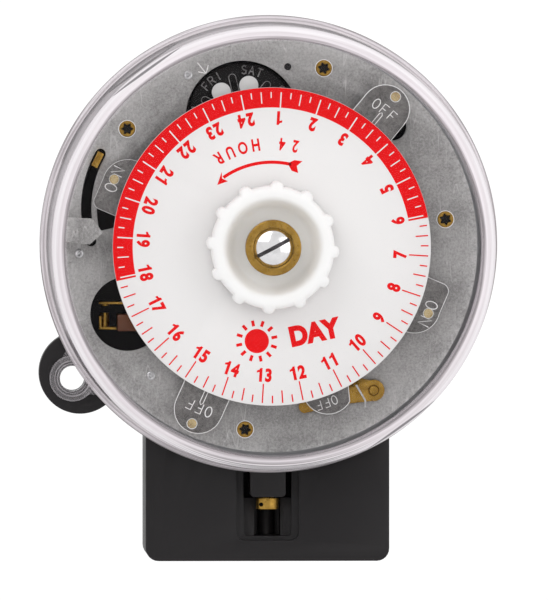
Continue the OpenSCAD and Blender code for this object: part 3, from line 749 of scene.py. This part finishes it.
def night_band():
    """Red band from hour 18 through midnight to hour 6, a little past its end ticks."""
    past = math.radians(1.0)
    start, end = hour_angle(30) - past, hour_angle(18) + past
    steps = 180
    angles = [start + (end - start) * i / steps for i in range(steps + 1)]
    outline = [(DIAL_R * 0.9985 * math.cos(a), DIAL_R * 0.9985 * math.sin(a)) for a in angles]
    outline += [(BAND_INNER_R * math.cos(a), BAND_INNER_R * math.sin(a)) for a in reversed(angles)]
    bm = bmesh.new()
    back = [bm.verts.new((x, DIAL_FACE + INK, z)) for x, z in outline]
    front = [bm.verts.new((x, DIAL_FACE - INK, z)) for x, z in outline]
    count = len(outline)
    faces = []
    for i in range(steps):
        a, b, c, d = i, i + 1, count - 2 - i, count - 1 - i
        faces.append(bm.faces.new((front[a], front[b], front[c], front[d])))
        faces.append(bm.faces.new((back[a], back[b], back[c], back[d])))
    for i in range(count):
        j = (i + 1) % count
        faces.append(bm.faces.new((back[i], back[j], front[j], front[i])))
    bmesh.ops.recalc_face_normals(bm, faces=faces)
    piece("dial_night_band", bm, RED_INK, "dial")


def add_tick_set(bm, first_hour, hours, y, finish):
    """Hour, half-hour and quarter ticks over a run of hours, ends included."""
    outer = DIAL_R - 1.1 * MM
    for offset, count, step, length, width in ((0, hours + 1, 1, 3.9, 0.3), (0.5, hours, 1, 2.7, 0.26),
                                               (0.25, hours * 2, 0.5, 1.45, 0.26)):
        add_marks(bm, count, hour_angle(first_hour + offset), -HOUR_STEP * step,
                  outer - length * MM, outer, width * MM, y, finish)


def dial_ticks():
    bm = bmesh.new()
    add_tick_set(bm, 18, 12, DIAL_FACE - 2 * INK, WHITE_INK)
    piece("dial_ticks_white", bm, WHITE_INK, "dial")
    bm = bmesh.new()
    outer = DIAL_R - 0.6 * MM
    for first, count, step, length in ((7, 11, 1, 4.6), (6.5, 12, 1, 3.0), (6.25, 24, 0.5, 1.8)):
        add_marks(bm, count, hour_angle(first), -HOUR_STEP * step, outer - length * MM, outer,
                  0.3 * MM, DIAL_FACE - INK / 2, RED_INK)
    piece("dial_ticks_red", bm, RED_INK, "dial")


ONE = ((0.2, -0.5), (0.2, 0.5), (0.06, 0.5), (-0.03, 0.37), (-0.2, 0.3), (-0.2, 0.15), (-0.01, 0.2),
       (-0.01, -0.5))


def dial_numerals():
    """Hours 1 to 24, each with its top towards the axis."""
    bm = bmesh.new()
    radius = BAND_INNER_R - 2.5 * MM
    height = 3.3 * MM
    for hour in range(1, 25):
        angle = hour_angle(hour)
        out = Vector((math.cos(angle), math.sin(angle)))
        right = Vector((-out.y, out.x))
        digits = str(hour)
        for k, digit in enumerate(digits):
            shift = (k - (len(digits) - 1) / 2) * 2.15 * MM
            middle = out * radius + right * shift
            if digit == "1":
                outline = [middle - out * (v * height) + right * (u * height) for u, v in ONE]
                sheet(bm, [tuple(p) for p in outline], DIAL_FACE + INK, DIAL_FACE - INK)
            else:
                over = math.pi if digit == "9" else 0.0
                add_letters(bm, "6" if digit == "9" else digit, height,
                            Vector((middle.x, DIAL_FACE - INK / 2, middle.y)),
                            angle + math.pi / 2 + over, 0.82, 0.05)
    piece("dial_numerals", bm, RED_INK, "dial")


def direction_arrow():
    """Curved arrow that shows which way the dial turns, with a feathered tail."""
    radius = 20.2 * MM
    tail, head, tip = math.radians(77), math.radians(125), math.radians(131.5)
    y_back, y_front = DIAL_FACE + INK, DIAL_FACE - INK
    bm = bmesh.new()
    points = [polar(tail + (head - tail) * i / 40, radius) for i in range(41)]
    stroke(bm, [(p.x, p.z) for p in points], 0.77 * MM, y_back, y_front)
    barb = math.radians(1.2)
    sheet(bm, [(p.x, p.z) for p in (polar(head - barb, radius + 1.35 * MM), polar(tip, radius - 0.5 * MM),
                                    polar(head - barb, radius - 1.35 * MM), polar(head + 0.02, radius))],
          y_back, y_front)
    feather = math.radians(4.2)
    barbs = (polar(tail + 0.02, radius - 0.38 * MM), polar(tail - feather * 0.4, radius - 1.45 * MM),
             polar(tail - feather * 1.6, radius - 1.5 * MM), polar(tail - feather, radius),
             polar(tail - feather * 1.6, radius + 1.5 * MM), polar(tail - feather * 0.4, radius + 1.2 * MM),
             polar(tail + 0.02, radius + 0.38 * MM))
    sheet(bm, [(p.x, p.z) for p in barbs], y_back, y_front)
    piece("dial_arrow", bm, RED_INK, "dial")


def dial_words():
    """Generic words only: what the dial is, and which half of the day is plain."""
    bm = bmesh.new()
    word = "24 HOUR"
    radius = 24.6 * MM
    step = math.radians(7.4)
    first = math.radians(99) - step * (len(word) - 1) / 2
    for k, letter in enumerate(word):
        if letter != " ":
            angle = first + k * step
            add_letters(bm, letter, 3.0 * MM, polar(angle, radius, DIAL_FACE - INK / 2),
                        angle + math.pi / 2, 0.72, 0.03)
    tilt = math.radians(12)
    add_letters(bm, "DAY", 5.0 * MM, Vector((10.4 * MM, DIAL_FACE - INK / 2, -20.4 * MM)), tilt, 0.92, 0.06)
    sun = Vector((-3.6 * MM, 0, -22.6 * MM))
    sheet(bm, circle_points((sun.x, sun.z), 2.9 * MM, 40), DIAL_FACE + INK, DIAL_FACE - INK)
    for k in range(12):
        angle = k * math.pi / 6 + tilt
        inner, outer = polar(angle, 3.6 * MM) + sun, polar(angle, 5.0 * MM) + sun
        stroke(bm, [(inner.x, inner.z), (outer.x, outer.z)], 0.72 * MM, DIAL_FACE + INK, DIAL_FACE - INK)
    piece("dial_words", bm, RED_INK, "dial")


# ---- knob, collar and screw ------------------------------------------------------------


def lock_knob():
    """White clamping knob: rounded rim with grip bumps, and a dished front."""
    back, front = back_of("lock_knob"), front_of("lock_knob")
    tip_r = radius_of("lock_knob")
    body_r = tip_r - 1.15 * MM
    bumps = 12

    def swell(angle, radius, y):
        if radius < body_r - 1.3 * MM:
            return 0.0
        spacing = 2 * math.pi / bumps
        off = (angle + math.radians(4) + spacing / 2) % spacing - spacing / 2
        across = abs(off) * body_r / (1.45 * MM)
        if across >= 1:
            return 0.0
        top = min(1.0, max(0.0, (y - front) / (1.2 * MM)))
        share = (radius - (body_r - 1.3 * MM)) / (1.3 * MM)
        return 1.15 * MM * math.sqrt(1 - across ** 2) * min(1.0, share) * math.sqrt(top)

    floor = back - 3.6 * MM
    profile = [(5.56 * MM, back), (body_r - 0.3 * MM, back), (body_r, back - 0.3 * MM)]
    profile += [(body_r, back + (front - back) * k / 6 + 0.0) for k in range(1, 6)]
    profile += arc_points((body_r - 1.5 * MM, front + 1.5 * MM), 1.5 * MM, 0, 90, 8)
    profile += [(12.4 * MM, front)]
    profile += [(11.9 * MM, front + 0.12 * MM), (11.45 * MM, front + 0.5 * MM), (11.1 * MM, front + 1.1 * MM)]
    profile += [(10.4 * MM, front + 3.2 * MM), (9.9 * MM, floor - 0.8 * MM), (9.4 * MM, floor - 0.2 * MM)]
    profile += [(8.9 * MM, floor), (5.56 * MM, floor)]
    bm = bmesh.new()
    lathe(bm, profile, steps=480, swell=swell)
    piece("lock_knob_moulding", bm, FINISHES["knob_white"], "lock_knob",
          ("lock_knob",), crease=50)


def brass_collar():
    low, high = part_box("brass_collar")
    outer, front, back = (high.x - low.x) / 2, low.y, high.y
    inner = outer - 1.85 * MM
    floor = back - 1.2 * MM
    profile = [(1.55 * MM, back), (outer, back), (outer, front + 0.35 * MM)]
    profile += arc_points((outer - 0.35 * MM, front + 0.35 * MM), 0.35 * MM, 0, 90, 4)
    profile += [(inner + 0.35 * MM, front), (inner, front + 0.35 * MM), (inner, floor), (1.55 * MM, floor)]
    bm = bmesh.new()
    lathe(bm, profile, steps=128)
    piece("brass_collar_turned", bm, FINISHES["brass"], "dial", ("brass_collar",))


def centre_screw():
    """Domed cheese-head screw with a straight slot."""
    low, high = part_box("centre_screw")
    head_r, front, back = (high.x - low.x) / 2, low.y, high.y
    shank_r = 1.5 * MM
    bow = 8.0 * MM

    def dome(radius):
        return front + bow - math.sqrt(bow ** 2 - radius ** 2)

    under = front + 3.4 * MM
    profile = [(0, back), (shank_r, back), (shank_r, under), (head_r, under),
               (head_r, dome(head_r) + 0.1 * MM)]
    profile += [(head_r * (1 - k / 12), dome(head_r * (1 - k / 12))) for k in range(1, 12)]
    profile += [(0, front)]
    bm = bmesh.new()
    lathe(bm, profile, steps=96)
    piece("centre_screw_turned", bm, FINISHES["bright_steel"], "dial", ("centre_screw",))
    # The slot is a dark box laid into the dome: painted shade standing for its recess.
    turn = math.radians(28)
    along = Vector((math.cos(turn), math.sin(turn)))
    side = Vector((-along.y, along.x)) * 0.46 * MM
    bm = bmesh.new()
    rows = []
    for k in range(17):
        at = (k / 8 - 1) * head_r * 0.93
        y = dome(abs(at)) - 0.03 * MM
        one, other = along * at + side, along * at - side
        corners = ((one, y), (other, y), (other, y + 0.3 * MM), (one, y + 0.3 * MM))
        rows.append([bm.verts.new((p.x, depth, p.y)) for p, depth in corners])
    faces = [bm.faces.new(rows[0]), bm.faces.new(rows[-1])]
    for first, second in zip(rows, rows[1:]):
        for k in range(4):
            j = (k + 1) % 4
            faces.append(bm.faces.new((first[k], first[j], second[j], second[k])))
    bmesh.ops.recalc_face_normals(bm, faces=faces)
    piece("centre_screw_slot_shade", bm, SLOT_PAINTED_SHADE, "dial")


# ---- fixings on the plate --------------------------------------------------------------


def solids_of(node):
    """Boxes of a node's separate solids, left to right, as (lowest, highest) corners."""
    bm = bmesh.new()
    bm.from_mesh(NODES[node].data)
    bmesh.ops.remove_doubles(bm, verts=bm.verts, dist=0.001 * MM)
    seen, boxes = set(), []
    for start in bm.verts:
        if start in seen:
            continue
        group, queue = [], [start]
        seen.add(start)
        while queue:
            vert = queue.pop()
            group.append(vert.co.copy())
            for e in vert.link_edges:
                other = e.other_vert(vert)
                if other not in seen:
                    seen.add(other)
                    queue.append(other)
        boxes.append((Vector([min(c[i] for c in group) for i in range(3)]),
                      Vector([max(c[i] for c in group) for i in range(3)])))
    bm.free()
    return sorted(boxes, key=lambda b: b[0].x)


def star_pillars():
    """Brass pillars whose ends are staked open in a star."""
    plate = front_of("dial_plate")
    bm = bmesh.new()
    dark = bmesh.new()
    halo = bmesh.new()
    steps = 60
    for number, (low, high) in enumerate(solids_of("plate_pillars")):
        x, z = (low.x + high.x) / 2, (low.z + high.z) / 2
        shaft_r = (high.x - low.x) / 2
        lathe(bm, [(0, high.y), (shaft_r, high.y), (shaft_r, back_of("dial_plate")),
                   (0, back_of("dial_plate"))], (x, z), 40)
        levels = [(1.35, 1.35, back_of("dial_plate")), (1.9, 1.9, plate), (1.95, 1.95, plate - 0.12 * MM),
                  (1.75, 1.75, plate - 0.3 * MM), (1.5, 1.05, plate - 0.32 * MM),
                  (1.3, 0.85, plate + 0.1 * MM)]
        turn = number * 0.7
        rings = []
        for wide, narrow, y in levels:
            ring = []
            for k in range(steps):
                angle = 2 * math.pi * k / steps
                wave = 0.5 + 0.5 * math.cos(6 * angle + turn)
                r = (narrow + (wide - narrow) * wave ** 1.4) * MM
                ring.append(bm.verts.new((x + r * math.cos(angle), y, z + r * math.sin(angle))))
            rings.append(ring)
        faces = [bm.faces.new(rings[0]), bm.faces.new(rings[-1])]
        for first, second in zip(rings, rings[1:]):
            for k in range(steps):
                j = (k + 1) % steps
                faces.append(bm.faces.new((first[k], first[j], second[j], second[k])))
        bmesh.ops.recalc_face_normals(bm, faces=faces)
        # A bright ring round each pillar foot in the edge finish: painted highlight.
        lathe(halo, [(1.9 * MM, plate + 0.1 * MM), (2.15 * MM, plate + 0.1 * MM),
                     (2.12 * MM, plate - 0.06 * MM), (1.9 * MM, plate - 0.08 * MM)], (x, z), 48)
        # A dark star sheet at the floor of each staked end: painted shade in its hollow.
        star = []
        for k in range(steps):
            angle = 2 * math.pi * k / steps
            wave = 0.5 + 0.5 * math.cos(6 * angle + turn)
            r = (0.86 + 0.5 * wave ** 1.4) * MM
            star.append((x + r * math.cos(angle), z + r * math.sin(angle)))
        sheet(dark, star, plate + 0.12 * MM, plate + 0.08 * MM)
    piece("star_pillars", bm, FINISHES["brass"], "timer_case", ("plate_pillars",))
    piece("star_pillar_socket_shade", dark, HOLE_PAINTED_SHADE, "timer_case")
    piece("star_pillar_halos", halo, EDGE_HIGHLIGHT, "timer_case")


def plate_rivets():
    """Small hollow rivets, and the black peg beside the day window."""
    plate = front_of("dial_plate")
    bm = bmesh.new()
    for low, high in solids_of("plate_rivets"):
        x, z = (low.x + high.x) / 2, (low.z + high.z) / 2
        profile = [(0, high.y), (0.68 * MM, high.y), (0.68 * MM, plate), (1.08 * MM, plate),
                   (1.02 * MM, plate - 0.18 * MM), (0.75 * MM, plate - 0.26 * MM),
                   (0.45 * MM, plate - 0.16 * MM), (0.3 * MM, plate + 0.2 * MM), (0, plate + 0.2 * MM)]
        lathe(bm, profile, (x, z), 32)
    piece("hollow_rivets", bm, FINISHES["steel"], "timer_case", ("plate_rivets",))
    spot = polar(math.radians(84.6), 43.1 * MM)
    bm = bmesh.new()
    lathe(bm, [(0, plate + 1.4 * MM), (0.82 * MM, plate + 1.4 * MM), (0.82 * MM, plate - 0.1 * MM),
               (0.6 * MM, plate - 0.2 * MM), (0.42 * MM, plate - 0.05 * MM), (0.3 * MM, plate + 0.1 * MM),
               (0, plate + 0.05 * MM)], (spot.x, spot.z), 32)
    piece("plate_peg", bm, FINISHES["lever_black"], "timer_case")


def plate_engraving():
    """A small hand-scribed arrow that points at the day window."""
    plate = front_of("dial_plate")
    bm = bmesh.new()
    tail, tip = Vector((-17.6, 43.9)) * MM, Vector((-15.5, 41.3)) * MM
    for points in ([tail, tip], [tip + Vector((0.5, 2.0)) * MM, tip, tip + Vector((-1.9, 0.4)) * MM]):
        stroke(bm, [tuple(p) for p in points], 0.26 * MM, plate + INK, plate - INK)
    piece("plate_scribed_arrow", bm, ENGRAVING, "timer_case")


# ---- tappets ---------------------------------------------------------------------------


def tappet_marks():
    """OFF and ON engraved with their tops outwards, and the OFF arms' index lines."""
    for number in (1, 2):
        for kind, radius in (("off", 42.4 * MM), ("on", 40.9 * MM)):
            node = f"{kind}_tappet_{number}"
            face = front_of(node)
            pin = centre_of(f"{kind}_pin_{number}")
            angle = math.atan2(pin.z, pin.x)
            bm = bmesh.new()
            if kind == "off":
                add_strokes(bm, "OFF", 2.5 * MM, (0, 0), angle, radius,
                            face + INK, face - INK, 0.24 * MM, 0.98)
                out = Vector((math.cos(angle), math.sin(angle)))
                side = Vector((-out.y, out.x)) * 0.42 * MM
                slot = [out * 34 * MM + side, out * 41.0 * MM + side, out * 41.5 * MM, out * 41.0 * MM - side,
                        out * 34 * MM - side]
                stroke(bm, [tuple(p) for p in slot], 0.2 * MM, face + INK, face - INK)
            else:
                add_strokes(bm, "ON", 2.9 * MM, (0, 0), angle, radius,
                            face + INK, face - INK, 0.24 * MM, 1.45)
            piece(node + "_engraving", bm, ENGRAVING, BODY_OF[node])


def flag_marks():
    face = front_of("indicator_flag")
    middle = centre_of("indicator_flag")
    angle = math.atan2(middle.z - 2.4 * MM, middle.x)
    bm = bmesh.new()
    add_strokes(bm, "OFF", 2.1 * MM, (0, 0), angle, 39.9 * MM, face + INK, face - INK, 0.24 * MM, 0.95)
    piece("indicator_flag_engraving", bm, ENGRAVING, "trip_rocker")


# ---- day wheel -------------------------------------------------------------------------


def day_wheel_marks():
    """Seven day names round the wheel, with a raised loop between each two."""
    face = front_of("day_disc")
    middle = centre_of("day_disc")
    centre = (middle.x, middle.z)
    pin = centre_of("skip_pin_1")
    first = math.atan2(pin.z - middle.z, pin.x - middle.x)
    bm = bmesh.new()
    step = 2 * math.pi / 7
    for k, day in enumerate(("FRI", "SAT", "SUN", "MON", "TUE", "WED", "THU")):
        angle = first - k * step
        add_strokes(bm, day, 2.0 * MM, centre, angle, 11.4 * MM, face + INK, face - INK * 2, 0.3 * MM, 0.95)
        between = angle - step / 2
        out = Vector((math.cos(between), math.sin(between)))
        side = Vector((-out.y, out.x)) * 0.85 * MM
        base = Vector(centre)
        loop = [base + out * 6.2 * MM + side, base + out * 9.8 * MM + side]
        loop += [base + out * (9.8 * MM + 0.85 * MM * math.sin(t)) + side * math.cos(t)
                 for t in [math.pi * i / 8 for i in range(1, 8)]]
        loop += [base + out * 9.8 * MM - side, base + out * 6.2 * MM - side]
        stroke(bm, [tuple(p) for p in loop], 0.2 * MM, face + INK, face - INK * 2)
    piece("day_wheel_marks", bm, MOULDED_MARK, "day_wheel")


# ---- clear cover -----------------------------------------------------------------------


def cover_profile(flange_r, back, front):
    """Section of the cover as [radius, y], outside first, with a rounded front edge."""
    edge, wall = 3.0 * MM, 1.9 * MM
    side, inner = 53.0 * MM, 51.15 * MM
    outer = [(52.75 * MM, back), (flange_r - 0.3 * MM, back), (flange_r, back - 0.3 * MM),
             (flange_r, back - 1.9 * MM), (flange_r - 0.3 * MM, back - 2.2 * MM),
             (54.0 * MM, back - 2.4 * MM), (53.75 * MM, back - 2.9 * MM), (53.4 * MM, back - 3.6 * MM)]
    outer += arc_points((side - edge, front + edge), edge, 0, 90, 10)
    lid = [(48.5 * MM, front), (0, front)]
    under = [(0, front + wall), (48.5 * MM, front + wall)]
    under += list(reversed(arc_points((inner - 1.2 * MM, front + wall + 1.2 * MM), 1.2 * MM, 0, 90, 6)))
    under += [(51.2 * MM, back - 2.05 * MM), (52.75 * MM, back - 2.05 * MM)]
    return outer, lid, under


def cover_shell():
    """Clear cover: lathe-turned section."""
    low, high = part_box("cover_shell")
    flange_r, back, front = high.x, high.y, low.y
    outer, lid, under = cover_profile(flange_r, back, front)
    bm = bmesh.new()
    steps = 256
    rows = []
    for radius, y in outer + lid + under:
        if radius < 1e-9:
            rows.append([bm.verts.new((0, y, 0))])
        else:
            rows.append([bm.verts.new((radius * math.cos(2 * math.pi * k / steps), y,
                                       radius * math.sin(2 * math.pi * k / steps))) for k in range(steps)])
    pairs = [(a, b) for a, b in zip(rows, rows[1:]) if len(a) > 1 or len(b) > 1]
    pairs.append((rows[-1], rows[0]))
    for first, second in pairs:
        for k in range(steps):
            j = (k + 1) % steps
            loop = [first[0]] if len(first) == 1 else [first[k], first[j]]
            loop += [second[0]] if len(second) == 1 else [second[j], second[k]]
            bm.faces.new(loop)
    bmesh.ops.recalc_face_normals(bm, faces=bm.faces)
    piece("cover_clear_shell", bm, FINISHES["clear_cover"], "cover", ("cover_shell",))


def cover_details():
    """Sealing ear with its neck on the flange, and bayonet ramps inside the skirt."""
    back = back_of("cover_shell")
    bm = bmesh.new()
    lug = math.radians(214.4)
    ear = polar(lug, 57.1 * MM)
    out = Vector((math.cos(lug), math.sin(lug)))
    side = Vector((-out.y, out.x))
    profile = [(3.0 * MM, back), (5.2 * MM, back), (5.5 * MM, back - 0.3 * MM), (5.5 * MM, back - 2.1 * MM),
               (5.2 * MM, back - 2.4 * MM), (4.4 * MM, back - 2.4 * MM), (4.1 * MM, back - 1.5 * MM),
               (3.7 * MM, back - 1.5 * MM), (3.5 * MM, back - 2.6 * MM), (3.2 * MM, back - 2.6 * MM),
               (3.0 * MM, back - 2.4 * MM)]
    lathe(bm, profile, (ear.x, ear.z), 64)
    for sign in (-1, 1):
        root = out * 54.4 * MM + side * sign * 6.6 * MM
        neck = []
        for i in range(9):
            t = i / 8
            along = 54.4 * MM + (57.6 - 54.4) * t * MM
            across = (6.6 - 1.5 * math.sin(t * math.pi / 2)) * MM
            neck.append(out * along + side * sign * across)
        inner = [out * 57.0 * MM + side * sign * 4.3 * MM, out * 54.6 * MM + side * sign * 3.0 * MM]
        outline = [tuple(root)] + [tuple(p) for p in neck] + [tuple(p) for p in inner]
        sheet(bm, outline, back, back - 1.9 * MM)
    for turn in (125.5, 305.5):
        ramp = []
        steps = 48
        for i in range(steps + 1):
            t = i / steps
            angle = math.radians(turn + 38 * t)
            depth = back - (4.5 + 15 * t) * MM
            swell = 0.75 * MM * math.sin(math.pi * t) ** 0.6 + 0.02 * MM
            ramp.append((angle, depth, swell))
        sections = []
        for angle, depth, swell in ramp:
            corners = [polar(angle, 51.3 * MM, depth), polar(angle, 51.3 * MM, depth - 1.6 * MM),
                       polar(angle, 51.2 * MM - swell, depth - 1.2 * MM),
                       polar(angle, 51.2 * MM - swell, depth - 0.4 * MM)]
            sections.append([bm.verts.new(c) for c in corners])
        faces = [bm.faces.new(sections[0]), bm.faces.new(sections[-1])]
        for first, second in zip(sections, sections[1:]):
            for k in range(4):
                j = (k + 1) % 4
                faces.append(bm.faces.new((first[k], first[j], second[j], second[k])))
        bmesh.ops.recalc_face_normals(bm, faces=faces)
    piece("cover_clear_details", bm, clear_plain(), "cover")


# ---- everything else keeps its CAD shape, with rounded edges ---------------------------


ROUNDED = {
    "block_housing": 0.5, "block_back_plate": 0.25, "base_case": 0.3, "seal_screw": 0.12,
    "dial_plate": 0.12, "arbor_bush": 0.15, "dial_disc": 0.15,
    "clamp_washer": 0.1, "day_disc": 0.2, "day_star": 0.15, "dial_hub": 0.15,
    "skip_pin_1": 0.12, "skip_pin_2": 0.12, "skip_pin_3": 0.12, "skip_pin_4": 0.12,
    "skip_pin_5": 0.12, "skip_pin_6": 0.12, "skip_pin_7": 0.12,
    "on_pin_1": 0.08, "on_pin_2": 0.08, "off_pin_1": 0.08, "off_pin_2": 0.08,
    "override_lever": 0.1, "override_tip": 0.15, "trip_rocker": 0.12, "rocker_stud": 0.15,
    "contact_base": 0.15, "fixed_contact": 0.08, "moving_contact": 0.06, "motor_case": 0.2,
    "back_frame": 0.15, "contact_pins": 0.2, "socket_terminals": 0.15, "terminal_screws": 0.1,
    "cover_gasket": 0.25, "frame_screws": 0.1, "sealing_lug": 0.3, "pivot_studs": 0.1,
}


def rounded_pieces():
    for node, width in ROUNDED.items():
        refined(node, width * MM)
    for node in ("on_tappet_1", "on_tappet_2", "off_tappet_1", "off_tappet_2", "indicator_flag"):
        # Their rounded edges take the bright edge finish, a painted highlight.
        refined(node, 0.2 * MM, edge=EDGE_HIGHLIGHT)
    refined("time_pointer", 0.18 * MM, edge=EDGE_HIGHLIGHT)


def finish_remaining():
    """CAD nodes that are shown as they are get their finish on their own slots."""
    for node, obj in NODES.items():
        obj.data.materials.clear()
        obj.data.materials.append(FINISHES[SLOT_OF[node]].material)


# ---- camera, light and surroundings ----------------------------------------------------


def camera():
    """Very long lens, nearly square on: a little to the left of the axis and above it."""
    distance = 5.0
    yaw, rise = math.radians(2.05), math.radians(1.77)
    target = Vector((1.36 * MM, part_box("cover_shell")[1].y - 1 * MM, -13.5 * MM))
    back = Vector((-math.sin(yaw) * math.cos(rise), -math.cos(yaw) * math.cos(rise), math.sin(rise)))
    data = bpy.data.cameras.new("camera")
    data.sensor_width = 36.0
    picture_height = 144.2 * MM
    data.lens = data.sensor_width * distance / picture_height
    data.clip_end = 50
    obj = bpy.data.objects.new("camera", data)
    bpy.context.scene.collection.objects.link(obj)
    obj.location = target + back * distance
    obj.rotation_euler = (-back).to_track_quat("-Z", "Y").to_euler()
    bpy.context.scene.camera = obj


def soft_lamp(name, place, aim, size, power, tint=(1, 1, 1)):
    data = bpy.data.lights.new(name, "AREA")
    data.shape = "RECTANGLE"
    data.size, data.size_y = size
    data.energy = power
    data.color = tint
    obj = bpy.data.objects.new(name, data)
    bpy.context.scene.collection.objects.link(obj)
    obj.location = place
    obj.rotation_euler = (Vector(aim) - Vector(place)).to_track_quat("-Z", "Y").to_euler()


def studio():
    """Pale floor, white surroundings and large soft lamps."""
    bm = bmesh.new()
    half, level = 0.6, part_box("block_housing")[0].z - 120 * MM
    bm.faces.new([bm.verts.new(c) for c in ((-half, -half, level), (half, -half, level),
                                            (half, half, level), (-half, half, level))])
    mesh = bpy.data.meshes.new("floor")
    bm.to_mesh(mesh)
    bm.free()
    floor = bpy.data.objects.new("floor", mesh)
    bpy.context.scene.collection.objects.link(floor)
    mesh.materials.append(moulded("floor_paper", (0.84, 0.84, 0.84), (0.88, 0.88, 0.88), 0.8, 0.05).material)
    world = bpy.data.worlds.new("studio")
    bpy.context.scene.world = world
    world.use_nodes = True
    tree = world.node_tree
    tree.nodes.clear()
    seen = tree.nodes.new("ShaderNodeBackground")
    seen.inputs["Color"].default_value = (1, 1, 1, 1)
    seen.inputs["Strength"].default_value = 1.05
    light = tree.nodes.new("ShaderNodeBackground")
    light.inputs["Strength"].default_value = 0.99
    ray = tree.nodes.new("ShaderNodeLightPath")
    mix = tree.nodes.new("ShaderNodeMixShader")
    out = tree.nodes.new("ShaderNodeOutputWorld")
    tree.links.new(ray.outputs["Is Camera Ray"], mix.inputs[0])
    tree.links.new(light.outputs[0], mix.inputs[1])
    tree.links.new(seen.outputs[0], mix.inputs[2])
    tree.links.new(mix.outputs[0], out.inputs[0])
    soft_lamp("key", (-0.7, -1.0, 1.0), (0, 0, 0), (1.1, 1.1), 5.5)
    soft_lamp("fill", (0.9, -0.9, 0.2), (0, 0, 0), (0.9, 1.1), 3.0)
    bpy.context.scene.view_settings.view_transform = "Standard"


# ---- assembly --------------------------------------------------------------------------


camera()
studio()
finish_remaining()
rounded_pieces()
night_band()
dial_ticks()
dial_numerals()
direction_arrow()
dial_words()
lock_knob()
brass_collar()
centre_screw()
star_pillars()
plate_rivets()
plate_engraving()
tappet_marks()
flag_marks()
day_wheel_marks()
cover_shell()
cover_details()
